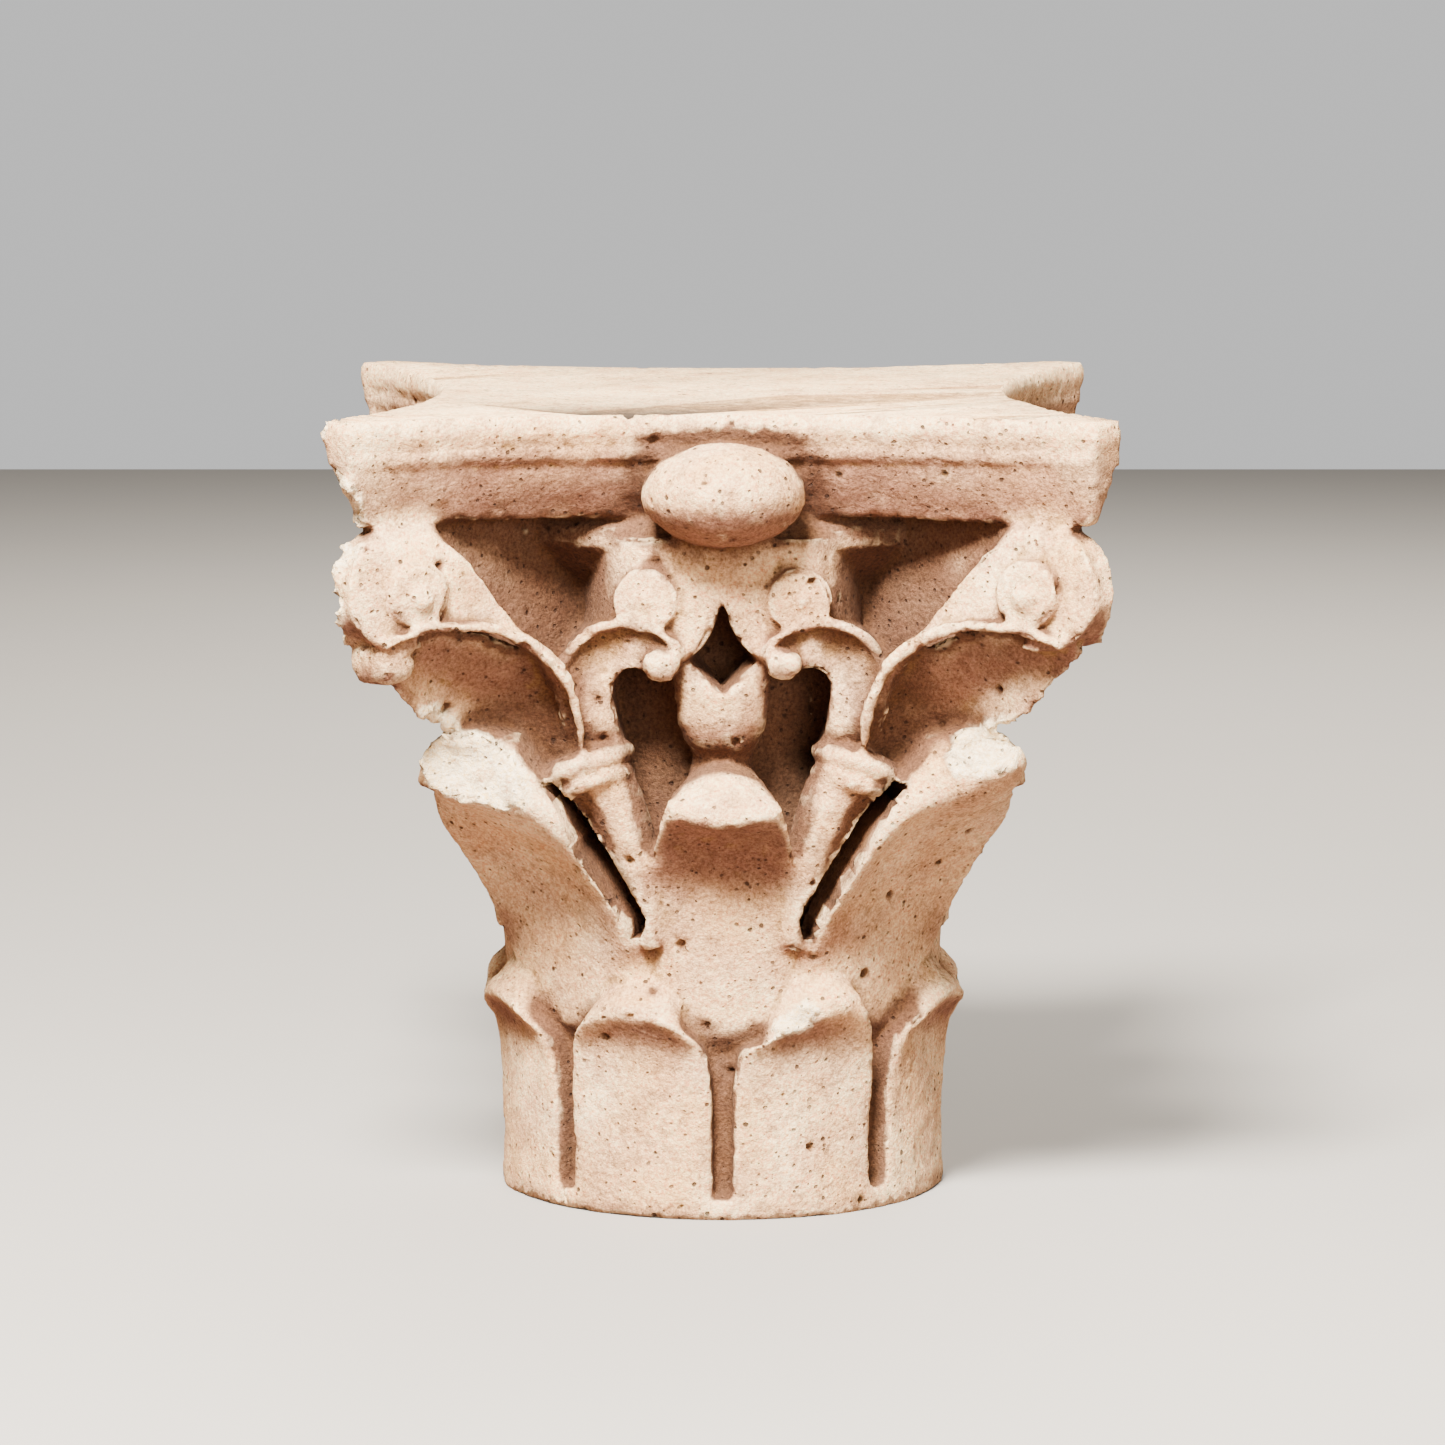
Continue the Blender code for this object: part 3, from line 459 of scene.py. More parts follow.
def cornerWeb():
    # The neck of stone left between the bell and the two volutes of a corner.
    foot = stalkForm["level"] + 0.012
    neckWidths = (
        (0.30, 0.016), (0.50, 0.009), (0.62, 0.007), (0.72, 0.008), (0.80, 0.011), (0.86, 0.011),
        (1.0, 0.005),
    )
    rings = []
    for level, reach in (
        (foot, 0.54), (foot + 0.022, 0.60), (foot + 0.045, 0.68), (voluteLevel - 0.028, 0.78),
        (voluteLevel, 0.86), (underside - 0.014, 0.86), (underside + 0.010, 0.78),
    ):
        ring = []
        for radius, half in neckWidths:
            out = cornerReach * min(radius, reach) if radius < 1 else cornerReach * reach + 0.002
            ring.append(Vector((half, -out - 0.0002 * radius, level)))
        ring += [Vector((-point.x, point.y, point.z)) for point in reversed(ring)]
        rings.append([Matrix.Rotation(radians(45), 3, "Z") @ point for point in ring])
    return stackedRings(rings)


# The leaves that the scrolls rest on
calyxForm = {
    "hollow": 0.019,
    "rimBead": 0.0036,
    "tipInset": 0.036,
    "root": 0.080,
}


def outerCalyx():
    # The leaf under a volute: hollow below from its rim to a crease, then a facet down to the arris
    # on the corner's diagonal.
    plane = volutePlane()
    rim = [tuple(plane.at(run, level, proud)) for run, level, proud in rimLine()]
    rise = voluteLevel - stalkForm["level"]
    start, level, azimuth = stalkForm["distance"], stalkForm["level"], stalkForm["azimuth"]
    reach = cornerReach - start
    side = polar(start, azimuth, 0) + polar(stalkForm["radius"], azimuth + 82, 0)
    crease = [(side.x, side.y, level + 0.002)]
    crease.append(tuple(polar(start + 0.018, azimuth + 11.5, level + 0.010)))
    arris = [(point[0], point[1], point[2] - 0.004) for point in crease]
    creaseShares = (
        (0.235, 0.24), (0.34, 0.375), (0.47, 0.495), (0.57, 0.545), (0.66, 0.575),
        (0.75, 0.62), (0.83, 0.67), (0.89, 0.70),
    )
    for out, up in creaseShares:
        crease.append(tuple(polar(start + reach * out, 45 - 2.2 * (1 - out), level + rise * up)))
    arrisShares = (
        (0.235, 0.12), (0.36, 0.15), (0.48, 0.20), (0.57, 0.28), (0.66, 0.39),
        (0.74, 0.51), (0.82, 0.62), (0.88, 0.68),
    )
    for out, up in arrisShares:
        arris.append(tuple(polar(start + reach * out, 45.5, level + rise * up)))
    foldShare = 0.72

    def outer(up, across):
        edge, fold, low = (Vector(smoothThrough(line, up)) for line in (rim, crease, arris))
        if across > foldShare:
            return fold.lerp(low, (across - foldShare) / (1 - foldShare))
        share = across / foldShare
        point = edge.lerp(fold, share)
        bulge = calyxForm["hollow"] * sin(pi * share ** 0.6) * (1 - 0.35 * up) * min(up * 4, 1.0)
        inward = Vector((-point.x, -point.y, 0)).normalized()
        return point + (inward * 0.9 + Vector((0, 0, 0.45))) * bulge

    def inner(up, across):
        lean = 45 - 14 * (1 - min(up * 3, 1.0))
        depth = start - 0.020 + reach * 0.60 * up
        core = polar(depth, lean, level + rise * (0.30 + 0.60 * up))
        return outer(up, across).lerp(core, 0.85)

    bead = [Vector(point) for point in rim]
    steps = 40
    path = [Vector(smoothThrough(bead, 0.95 * step / steps)) for step in range(steps + 1)]
    radii = [calyxForm["rimBead"] * (0.7 + 0.3 * sin(pi * step / steps)) for step in range(steps + 1)]
    return [closedSheet(outer, inner, 28, 14), tube(path, radii, 12)]


def calyxTip():
    # The blunt curled tip where the two calyx leaves of a corner meet.
    level = stalkForm["level"] + (voluteLevel - stalkForm["level"]) * 0.64
    body = ball(Vector((0, -cornerReach + calyxForm["tipInset"], level)), (0.018, 0.014, 0.0125), 10, 0.6)
    bmesh.ops.transform(body, matrix=Matrix.Rotation(radians(45), 4, "Z"), verts=body.verts)
    return body


def helixPlane():
    return Plane(Vector((0, -helixForm["distance"], 0)), -8)


def helix():
    # The small scroll: a rounded body from the middle of the side round into the recess, and its eye.
    plane = helixPlane()
    eye = Vector((helixForm["radius"] + 0.001, helixLevel))
    top = underside - 0.011
    width = helixForm["radius"] * 2.05
    hidden = helixLevel - 0.050

    def outer(up, across):
        run = width * across
        reach = helixForm["radius"] * (0.965 - 0.05 * across)
        apart = min(abs(run - eye.x) / reach, 1.0)
        low = eye.y - reach * sqrt(1 - apart * apart)
        if run > eye.x:
            low = min(low, hidden + 0.012)
        turn = max(across - 0.52, 0.0) / 0.48
        back = 0.052 * turn ** 2.0
        return plane.at(run * (1 - 0.03 * up * turn), low + (top - low) * up, -back)

    def inner(up, across):
        point = outer(up, across)
        return polar(bellForm["wall"], atan2(point.x, -point.y) * 180 / pi, point.z)

    proud = voluteForm["eyeProud"]
    pieces = [closedSheet(outer, inner, 14, 30)]
    pieces.append(plate(plane, roundDisc(eye, helixForm["eye"]), proud, -0.010))
    pieces.append(ball(plane.at(eye.x, eye.y, proud), (0.005, 0.004, 0.005)))
    return pieces


def innerCalyx():
    # The narrow leaf that climbs from the collar and curls under the small scroll. Its lines hold how
    # far along, the level as a share of the way up to the eye, and how far proud of the plane.
    plane = helixPlane()
    level = stalkForm["level"]
    drop = helixLevel - level
    size = helixForm["radius"]
    rim = [
        (2.04, 0.05, -0.036), (2.10, 0.17, -0.016), (2.15, 0.33, -0.002), (2.18, 0.49, 0.003),
        (2.13, 0.64, 0.004), (1.93, 0.765, 0.004), (1.63, 0.845, 0.004), (1.29, 0.87, 0.004),
        (0.95, 0.845, 0.005), (0.66, 0.775, 0.006), (0.50, 0.70, 0.005),
    ]
    fold = [
        (1.34, 0.09, -0.036), (1.38, 0.15, -0.022), (1.42, 0.24, -0.013), (1.46, 0.36, -0.008),
        (1.48, 0.47, -0.005), (1.43, 0.555, -0.003), (1.31, 0.60, -0.001), (1.14, 0.615, 0.002),
        (0.98, 0.62, 0.004), (0.80, 0.615, 0.005), (0.62, 0.60, 0.004),
    ]

    def outer(up, across):
        edge, deep = smoothThrough(rim, up), smoothThrough(fold, up)
        run, share, proud = (a + (b - a) * across for a, b in zip(edge, deep))
        swell = sin(pi * across) * (0.008 - 0.015 * min(max(up - 0.15, 0.0) / 0.35, 1.0))
        return plane.at(run * size, level + share * drop, proud + swell)

    def inner(up, across):
        point = outer(up, across)
        return Vector((point.x, -calyxForm["root"], point.z))

    steps = 36
    path, radii = [], []
    for step in range(steps + 1):
        run, share, proud = smoothThrough(rim, step / steps)
        path.append(plane.at(run * size, level + share * drop, proud - 0.001))
        radii.append(calyxForm["rimBead"] * (0.6 + 0.4 * sin(pi * step / steps)))
    curl = ball(plane.at(0.80 * size, level + 0.64 * drop, 0.005), (0.011, 0.008, 0.009), 20, 0.8)
    return [closedSheet(outer, inner, 26, 8), tube(path, radii, 12), curl]


# The sheath between them
sheathForm = {
    "width": 0.056,
    "reach": 0.160,
}


def sheath():
    # The vase-shaped sheath between the small scrolls, notched at the top.
    foot = leafForm["axialLip"] + 0.022
    top = helixLevel - 0.031
    rise = top - foot
    half = sheathForm["width"] / 2
    reach = sheathForm["reach"]
    stations = [
        (foot, reach - 0.022, half * 0.74, -0.008, 0),
        (foot + rise * 0.12, reach - 0.016, half * 0.68, -0.010, 0),
        (foot + rise * 0.26, reach - 0.006, half * 0.84, -0.012, 0),
        (foot + rise * 0.42, reach - 0.001, half * 0.97, -0.010, 0),
        (foot + rise * 0.56, reach + 0.001, half * 1.0, -0.007, 0.005),
        (foot + rise * 0.65, reach + 0.003, half * 1.06, -0.003, 0.020),
        (foot + rise * 0.68, reach + 0.002, half * 1.20, -0.001, 0.033),
    ]
    return leaf(0, stations, bellForm["wall"], bend=1.1)


def abacus():
    hollow = abacusForm["hollow"]
    edge = block["width"] / 2 - abacusForm["chamfer"]
    bow = (edge * edge + hollow * hollow) / (2 * hollow)
    middle = block["width"] / 2 - hollow + bow
    steps = 22
    thick = abacusForm["thick"]
    rings = []
    for share, inset, cut in (
        (-0.02, 0.060, 0.030), (0.0, 0.026, 0.013), (0.10, 0.0225, 0.010), (0.26, 0.016, 0.007),
        (0.43, 0.0105, 0.005), (0.555, 0.0085, 0.004), (0.590, 0.0042, 0.003), (0.690, 0.0036, 0.002),
        (0.722, 0.0072, 0.002), (0.754, 0.0030, 0.001), (0.85, 0.0, 0.0), (0.95, 0.0010, 0.001),
        (1.0, 0.0040, 0.003),
        (1.0 + block["bedMargin"] / thick, 0.009, 0.006),
    ):
        end = radians(45) - asin((middle / sqrt(2) - cornerReach + cut) / (bow + inset * 0.45))
        ring = []
        for quarter in range(block["sides"]):
            turn = Matrix.Rotation(radians(90 * quarter), 3, "Z")
            for step in range(steps + 1):
                side = 2 * step / steps - 1
                angle = end * side
                easing = 1 - 0.55 * abs(side) ** 3
                arc = bow + inset * easing
                level = underside + thick * share
                ring.append(turn @ Vector((arc * sin(angle), arc * cos(angle) - middle, level)))
        rings.append(ring)
    return stackedRings(rings)


# The boss over it
bossForm = {
    "width": 0.094,
    "height": 0.058,
    "depth": 0.042,
    "reach": 0.217,
    "drop": 0.016,
    "lean": -8,
}


def boss():
    depth, half = bossForm["depth"], bossForm["height"] / 2
    centre = Vector((0, depth - bossForm["reach"], block["height"] - bossForm["drop"] - half))
    return ball(centre, (bossForm["width"] / 2, depth, half), bossForm["lean"])


# Where the stone is broken
breakForm = {
    "tip": 0,
    "rough": 0.07,
    "facets": 4,
}


def breakBall(place, radii, turn, seed):
    # A rough blunt body that is cut away where the stone has broken.
    body = bmesh.new()
    bmesh.ops.create_icosphere(body, subdivisions=breakForm["facets"], radius=1.0)
    for vert in body.verts:
        x, y, z = vert.co
        broad = sin(5.1 * x + seed) * sin(4.3 * y + 2 * seed)
        fine = sin(8.7 * z + 3 * seed) * sin(7.9 * x - seed)
        vert.co *= 1 + breakForm["rough"] * (broad + 0.6 * fine)
    shape = Matrix.Translation(place) @ Matrix.Rotation(radians(turn), 4, "Z")
    bmesh.ops.transform(body, matrix=shape @ Matrix.Diagonal((*radii, 1.0)), verts=body.verts)
    return body


def slots():
    whole = bmesh.new()
    for quarter in range(block["sides"]):
        for mirrored in (False, True):
            addTurned(whole, slot(), 90 * quarter, mirrored)
    return whole


def breaks():
    # Where the block is broken: the left front corner of the abacus and the volute below it, the
    # lips of both front corner leaves, the right front tip and one lower leaf.
    leafTop, leafReach = leafForm["cornerLip"] + 0.030, leafForm["cornerReach"]
    lowerLip, lowerReach = leafForm["lowerLip"], leafForm["lowerReach"]
    places = (
        (polar(cornerReach + 0.022, -46.5, underside + 0.004), (0.040, 0.034, 0.036), 20),
        (polar(cornerReach + 0.018, -52, block["height"]), (0.034, 0.028, 0.022), -30),
        (Vector((-0.312, -0.190, voluteLevel - 0.016)), (0.104, 0.100, 0.058), 0),
        (polar(leafReach - 0.002, -36, leafTop - 0.007), (0.052, 0.034, 0.043), -35),
        (polar(leafReach - 0.006, 37, leafTop + 0.008), (0.040, 0.026, 0.018), 38),
        (polar(cornerReach + 0.002, 45, stalkForm["level"] + 0.068), (0.024, 0.020, 0.016), 45),
        (polar(lowerReach + 0.012, 11, lowerLip + 0.001), (0.033, 0.021, 0.022), 11),
    )
    return [breakBall(*spot, seed) for seed, spot in enumerate(places, 1)]


def addTurned(whole, body, turn, mirrored=False):
    # Adds a copy of the body to the whole, mirrored across the front or not, turned round the axis.
    shape = Matrix.Rotation(radians(turn), 4, "Z")
    if mirrored:
        shape = shape @ Matrix.Scale(-1, 4, Vector((1, 0, 0)))
    copy = body.copy()
    bmesh.ops.transform(copy, matrix=shape, verts=copy.verts)
    bmesh.ops.recalc_face_normals(copy, faces=copy.faces)
    mesh = bpy.data.meshes.new("copy")
    copy.to_mesh(mesh)
    whole.from_mesh(mesh)
    copy.free()
    bpy.data.meshes.remove(mesh)


def carveBlock():
    whole = bmesh.new()
    addTurned(whole, bell(), 0)
    addTurned(whole, abacus(), 0)
    for index in range(block["lowerLeaves"]):
        slant = leafForm["slant"] if index == leafForm["slanted"] else 0.0
        addTurned(whole, lowerLeaf(0, slant), 45 * index + 22.5)
    for quarter in range(block["sides"]):
        turn = 90 * quarter
        addTurned(whole, axialLeaf(0), turn)
        addTurned(whole, diagonalLeaf(45), turn)
        addTurned(whole, cornerWeb(), turn)
        addTurned(whole, sheath(), turn)
        addTurned(whole, boss(), turn)
        if quarter != breakForm["tip"]:
            addTurned(whole, calyxTip(), turn)
        for piece in [stalk(), collar(), *outerCalyx(), *innerCalyx(), *volute(), *helix()]:
            for mirrored in (False, True):
                addTurned(whole, piece, turn, mirrored)
    return whole


# How finely the stone is meshed, how it has worn, and how its marks are measured. The names in the
# last two are the inputs of the node trees.
meshForm = {"voxel": 0.0018, "triangles": 192000, "ease": 0.5, "easeSteps": 2, "rays": 20}
wearForm = {
    "Wave Height": 0.0021, "Wave Size": 0.060,
    "Grain Height": 0.0016, "Grain Size": 0.010,
    "Chip Depth": 0.0052, "Chip Size": 0.019,
    "Pit Depth": 0.0042, "Pit Size": 0.015, "Pit Share": 0.22,
    "Streak Depth": 0.0015, "Streak Size": 0.0065,
    "Break Height": 0.0042, "Break Reach": 0.0060,
    "Seed": 7.0,
}
markForm = {"Ray Length": 0.085, "Fresh Reach": 0.0022, "Ridge Steps": 4, "Facing Steps": 6}


def addNode(tree, kind, wires=None, **settings):
    node = tree.nodes.new(kind)
    for name, value in settings.items():
        setattr(node, name, value)
    for socket, value in (wires or {}).items():
        target = node.inputs[socket]
        if isinstance(value, bpy.types.NodeSocket):
            tree.links.new(value, target)
        else:
            target.default_value = value
    return node


def sums(tree, operation, first, second=0.0, third=0.0, clamp=False):
    wires = {0: first, 1: second, 2: third}
    return addNode(tree, "ShaderNodeMath", wires, operation=operation, use_clamp=clamp).outputs[0]


def vectors(tree, operation, first, second=(0, 0, 0)):
    node = addNode(tree, "ShaderNodeVectorMath", {0: first, 1: second}, operation=operation)
    return node.outputs["Value" if operation in ("DOT_PRODUCT", "LENGTH", "DISTANCE") else "Vector"]


def scaled(tree, vector, factor):
    return addNode(tree, "ShaderNodeVectorMath", {0: vector, "Scale": factor}, operation="SCALE").outputs[0]


def times(tree, first, second):
    return sums(tree, "MULTIPLY", first, second)


def ramp(tree, value, low, high, start=0.0, end=1.0):
    # Smoothly from start to end as the value goes from low to high.
    wires = {"Value": value, "From Min": low, "From Max": high, "To Min": start, "To Max": end}
    return addNode(tree, "ShaderNodeMapRange", wires, interpolation_type="SMOOTHSTEP").outputs["Result"]


def noise(tree, place, size, detail=2.0, rough=0.5):
    scale = sums(tree, "DIVIDE", 1.0, size)
    wires = {"Vector": place, "Scale": scale, "Detail": detail, "Roughness": rough}
    return addNode(tree, "ShaderNodeTexNoise", wires).outputs[0]


def newTree(name, kind, sockets):
    # A node group with its named sockets: (name, IN or OUT, socket type, default).
    tree = bpy.data.node_groups.new(name, kind)
    for label, side, socketType, default in sockets:
        socket = tree.interface.new_socket(name=label, in_out=side + "PUT", socket_type=socketType)
        if default is not None:
            socket.default_value = default
    return tree


def geometryTree(name, values):
    # A geometry tree with an input for each value, and for the block's box, its breaks and its stone.
    sockets = [("Geometry", side, "NodeSocketGeometry", None) for side in ("OUT", "IN")]
    for label, value in values.items():
        sockets.append((label, "IN", "NodeSocketInt" if isinstance(value, int) else "NodeSocketFloat", value))
    sockets += [(label, "IN", "NodeSocketVector", None) for label in ("Low Corner", "High Corner")]
    sockets += [("Breaks", "IN", "NodeSocketObject", None), ("Stone", "IN", "NodeSocketMaterial", None)]
    return newTree(name, "GeometryNodeTree", sockets)


def setInputs(modifier, values):
    # A modifier's inputs are set by identifier, looked up by their names.
    for item in modifier.node_group.interface.items_tree:
        if item.item_type == "SOCKET" and item.in_out == "INPUT" and item.name in values:
            modifier[item.identifier] = values[item.name]


def blurred(tree, value, steps, kind):
    # A value averaged over the neighbouring points.
    wires = {"Value": value, "Iterations": steps}
    return addNode(tree, "GeometryNodeBlurAttribute", wires, data_type=kind).outputs[0]


def finishTree(tree, geometry, material):
    real = addNode(tree, "GeometryNodeRealizeInstances", {"Geometry": geometry})
    dressed = addNode(tree, "GeometryNodeSetMaterial", {"Geometry": real.outputs[0], "Material": material})
    addNode(tree, "NodeGroupOutput", {"Geometry": dressed.outputs[0]})


def keptInside(tree, place, given):
    # The place, held within the solid's own box.
    raised = vectors(tree, "MAXIMUM", place, given["Low Corner"])
    return vectors(tree, "MINIMUM", raised, given["High Corner"])


def withMarks(tree, shape, marks):
    # The shape with a number left on each point under each name.
    for name, value in marks.items():
        wires = {"Geometry": shape, "Name": name, "Value": value}
        store = addNode(tree, "GeometryNodeStoreNamedAttribute", wires, data_type="FLOAT", domain="POINT")
        shape = store.outputs[0]
    return shape


def wearTree():
    # Pushes the carved surface in and out: slow waves, grain, worn arrises, pits, bedding streaks and
    # the torn faces of the breaks.
    tree = geometryTree("wearStone", wearForm)
    given = addNode(tree, "NodeGroupInput").outputs
    place = addNode(tree, "GeometryNodeInputPosition").outputs[0]
    normal = addNode(tree, "GeometryNodeInputNormal").outputs[0]
    shift = addNode(tree, "ShaderNodeCombineXYZ", {0: given["Seed"], 1: 3.1, 2: given["Seed"]}).outputs[0]
    moved = vectors(tree, "ADD", place, shift)

    wave = sums(tree, "SUBTRACT", noise(tree, moved, given["Wave Size"], 1.5), 0.5)
    grain = sums(tree, "SUBTRACT", noise(tree, moved, given["Grain Size"], 3.0, 0.62), 0.5)
    height = times(tree, wave, times(tree, given["Wave Height"], 2.0))
    height = sums(tree, "MULTIPLY_ADD", grain, times(tree, given["Grain Height"], 2.0), height)

    smooth = blurred(tree, place, 5, "FLOAT_VECTOR")
    arris = vectors(tree, "DOT_PRODUCT", vectors(tree, "SUBTRACT", place, smooth), normal)
    arris = ramp(tree, arris, 0.0002, 0.0011)
    chips = ramp(tree, noise(tree, moved, given["Chip Size"], 2.0, 0.6), 0.47, 0.62)
    chipped = times(tree, chips, arris)
    height = sums(tree, "SUBTRACT", height, times(tree, chipped, given["Chip Depth"]))

    cells = addNode(tree, "ShaderNodeTexVoronoi", {
        "Vector": moved, "Scale": sums(tree, "DIVIDE", 1.0, given["Pit Size"]), "Randomness": 1.0,
    })
    pick = addNode(tree, "ShaderNodeSeparateXYZ", {0: cells.outputs["Color"]})
    chosen = sums(tree, "LESS_THAN", pick.outputs[0], given["Pit Share"])
    width = sums(tree, "MULTIPLY_ADD", pick.outputs[1], 0.16, 0.12)
    hole = ramp(tree, cells.outputs["Distance"], times(tree, width, 0.45), width, 1.0, 0.0)
    pitted = times(tree, hole, chosen)
    height = sums(tree, "SUBTRACT", height, times(tree, pitted, given["Pit Depth"]))

    sway = times(tree, noise(tree, moved, 0.060, 2.0), 0.024)
    swayed = vectors(tree, "ADD", moved, addNode(tree, "ShaderNodeCombineXYZ", {1: sway}).outputs[0])
    stretched = vectors(tree, "MULTIPLY", swayed, (0.16, 1.0, 0.9))
    up = addNode(tree, "ShaderNodeSeparateXYZ", {0: normal}).outputs[2]
    streaks = ramp(tree, noise(tree, stretched, given["Streak Size"], 3.0, 0.6), 0.54, 0.68)
    patchy = ramp(tree, noise(tree, moved, 0.080, 2.0), 0.40, 0.60)
    streaks = times(tree, times(tree, streaks, patchy), ramp(tree, up, 0.55, 0.9))
    height = sums(tree, "SUBTRACT", height, times(tree, streaks, given["Streak Depth"]))

    broken = addNode(tree, "GeometryNodeObjectInfo", {"Object": given["Breaks"]})
    close = addNode(tree, "GeometryNodeProximity", {0: broken.outputs["Geometry"]}, target_element="FACES")
    near = ramp(tree, close.outputs["Distance"], 0.0, given["Break Reach"], 1.0, 0.0)
    torn = sums(tree, "SUBTRACT", noise(tree, moved, 0.010, 4.0, 0.65), 0.5)
    torn = times(tree, times(tree, torn, near), times(tree, given["Break Height"], 4.0))
    height = sums(tree, "ADD", height, torn)

    target = keptInside(tree, vectors(tree, "ADD", place, scaled(tree, normal, height)), given)
    worn = addNode(tree, "GeometryNodeSetPosition", {"Geometry": given["Geometry"], "Position": target})
    finishTree(tree, withMarks(tree, worn.outputs[0], {"pit": pitted, "chip": chipped}), given["Stone"])
    return tree


def markTree():
    # Leaves on each point how sheltered it lies, which way it faces, whether it is an arris or a
    # hollow, and whether the stone was broken there lately. The stone's colours read these, and paint
    # shade from the shelter, the facing and the hollows.
    rayCount = meshForm["rays"]
    tree = geometryTree("markStone", markForm)
    given = addNode(tree, "NodeGroupInput").outputs
    place = addNode(tree, "GeometryNodeInputPosition").outputs[0]
    normal = addNode(tree, "GeometryNodeInputNormal").outputs[0]

    source = vectors(tree, "ADD", place, scaled(tree, normal, 0.0012))
    total = 0.0
    for index in range(rayCount):
        level = 1 - 2 * (index + 0.5) / rayCount
        angle = pi * (3 - sqrt(5)) * index
        ring = sqrt(1 - level * level)
        lean = (0.97 * ring * cos(angle), 0.97 * ring * sin(angle), 0.97 * level)
        ray = addNode(tree, "GeometryNodeRaycast", {
            "Target Geometry": given["Geometry"], "Source Position": source,
            "Ray Direction": vectors(tree, "ADD", normal, lean), "Ray Length": given["Ray Length"],
        })
        near = sums(tree, "DIVIDE", ray.outputs["Hit Distance"], given["Ray Length"])
        blocked = times(tree, ray.outputs["Is Hit"], sums(tree, "SUBTRACT", 1.15, near, clamp=True))
        total = sums(tree, "ADD", total, blocked)
    shelter = blurred(tree, sums(tree, "DIVIDE", total, float(rayCount)), 2, "FLOAT")
    eased = blurred(tree, normal, given["Facing Steps"], "FLOAT_VECTOR")
    facing = addNode(tree, "ShaderNodeSeparateXYZ", {0: eased}).outputs[2]
    away = vectors(tree, "SUBTRACT", place, blurred(tree, place, given["Ridge Steps"], "FLOAT_VECTOR"))
    ridge = times(tree, vectors(tree, "DOT_PRODUCT", away, normal), 1000.0)
    broken = addNode(tree, "GeometryNodeObjectInfo", {"Object": given["Breaks"]})
    close = addNode(tree, "GeometryNodeProximity", {0: broken.outputs["Geometry"]}, target_element="FACES")
    reach = given["Fresh Reach"]
    fresh = ramp(tree, close.outputs["Distance"], reach, times(tree, reach, 2.0), 1.0, 0.0)

    marks = {"shelter": shelter, "facing": facing, "ridge": ridge, "fresh": fresh}
    marked = withMarks(tree, given["Geometry"], marks)
    wires = {"Geometry": marked, "Position": keptInside(tree, place, given)}
    finishTree(tree, addNode(tree, "GeometryNodeSetPosition", wires).outputs[0], given["Stone"])
    return tree


def hiddenObject(name, body):
    mesh = bpy.data.meshes.new(name)
    body.to_mesh(mesh)
    body.free()
    item = bpy.data.objects.new(name, mesh)
    bpy.context.scene.collection.objects.link(item)
    item.hide_render = True
    return item


def bedBlock():
    # The block between the two flat beds.
    body = bmesh.new()
    bmesh.ops.create_cube(body, size=1.0)
    side, height = block["width"] * 2, block["height"]
    shape = Matrix.Translation((0, 0, height / 2)) @ Matrix.Diagonal((side, side, height, 1.0))
    bmesh.ops.transform(body, matrix=shape, verts=body.verts)
    return hiddenObject("beds", body)


def breakBlock():
    joined = bmesh.new()
    for body in breaks():
        addTurned(joined, body, 0)
    return hiddenObject("breaks", joined)


def cutWith(item, name, operation, cutter):
    cut = item.modifiers.new(name, "BOOLEAN")
    cut.operation = operation
    cut.solver = "MANIFOLD"
    cut.object = cutter


def plainMesh(item, name):
    # The object's finished mesh, with its modifiers in it.
    bpy.context.view_layer.update()
    finished = item.evaluated_get(bpy.context.evaluated_depsgraph_get())
    mesh = bpy.data.meshes.new_from_object(finished)
    mesh.name = name
    return mesh


def buildCapital(stone):
    rough = hiddenObject("roughStone", carveBlock())
    fuse = rough.modifiers.new("oneStone", "REMESH")
    fuse.mode = "VOXEL"
    fuse.voxel_size = meshForm["voxel"]
    ease = rough.modifiers.new("easeFacets", "SMOOTH")
    ease.factor = meshForm["ease"]
    ease.iterations = meshForm["easeSteps"]
    beds, broken, slotted = bedBlock(), breakBlock(), hiddenObject("slots", slots())
    shared = {
        "Low Corner": list(capitalLow), "High Corner": list(capitalHigh),
        "Breaks": broken, "Stone": stone,
    }
    cutWith(rough, "slots", "DIFFERENCE", slotted)
    cutWith(rough, "broken", "DIFFERENCE", broken)
    cutWith(rough, "flatBeds", "INTERSECT", beds)
    wear = rough.modifiers.new("wear", "NODES")
    wear.node_group = wearTree()
    setInputs(wear, {**wearForm, **shared})
    worn = hiddenObject("wornStone", bmesh.new())
    worn.data = plainMesh(rough, "wornStone")
    print("worn stone:", len(worn.data.polygons), "faces")
    worn.data.calc_loop_triangles()
    thin = worn.modifiers.new("thin", "DECIMATE")
    thin.ratio = min(1.0, meshForm["triangles"] / len(worn.data.loop_triangles))
    thin.use_collapse_triangulate = True
    marks = worn.modifiers.new("marks", "NODES")
    marks.node_group = markTree()
    setInputs(marks, {**markForm, **shared})
    piece = bpy.data.objects.new("carvedCapital", plainMesh(worn, "carvedCapital"))
    bpy.context.scene.collection.objects.link(piece)
    for item in (rough, worn, beds, broken, slotted):
        bpy.data.objects.remove(item)
    piece.data.shade_smooth()
    print("capital:", len(piece.data.polygons), "faces")
    return piece


def linear(red, green, blue):
    # A colour as it looks on screen, 0 to 255, in the values that a shader takes.
    return (*[((part / 255 + 0.055) / 1.055) ** 2.4 for part in (red, green, blue)], 1.0)


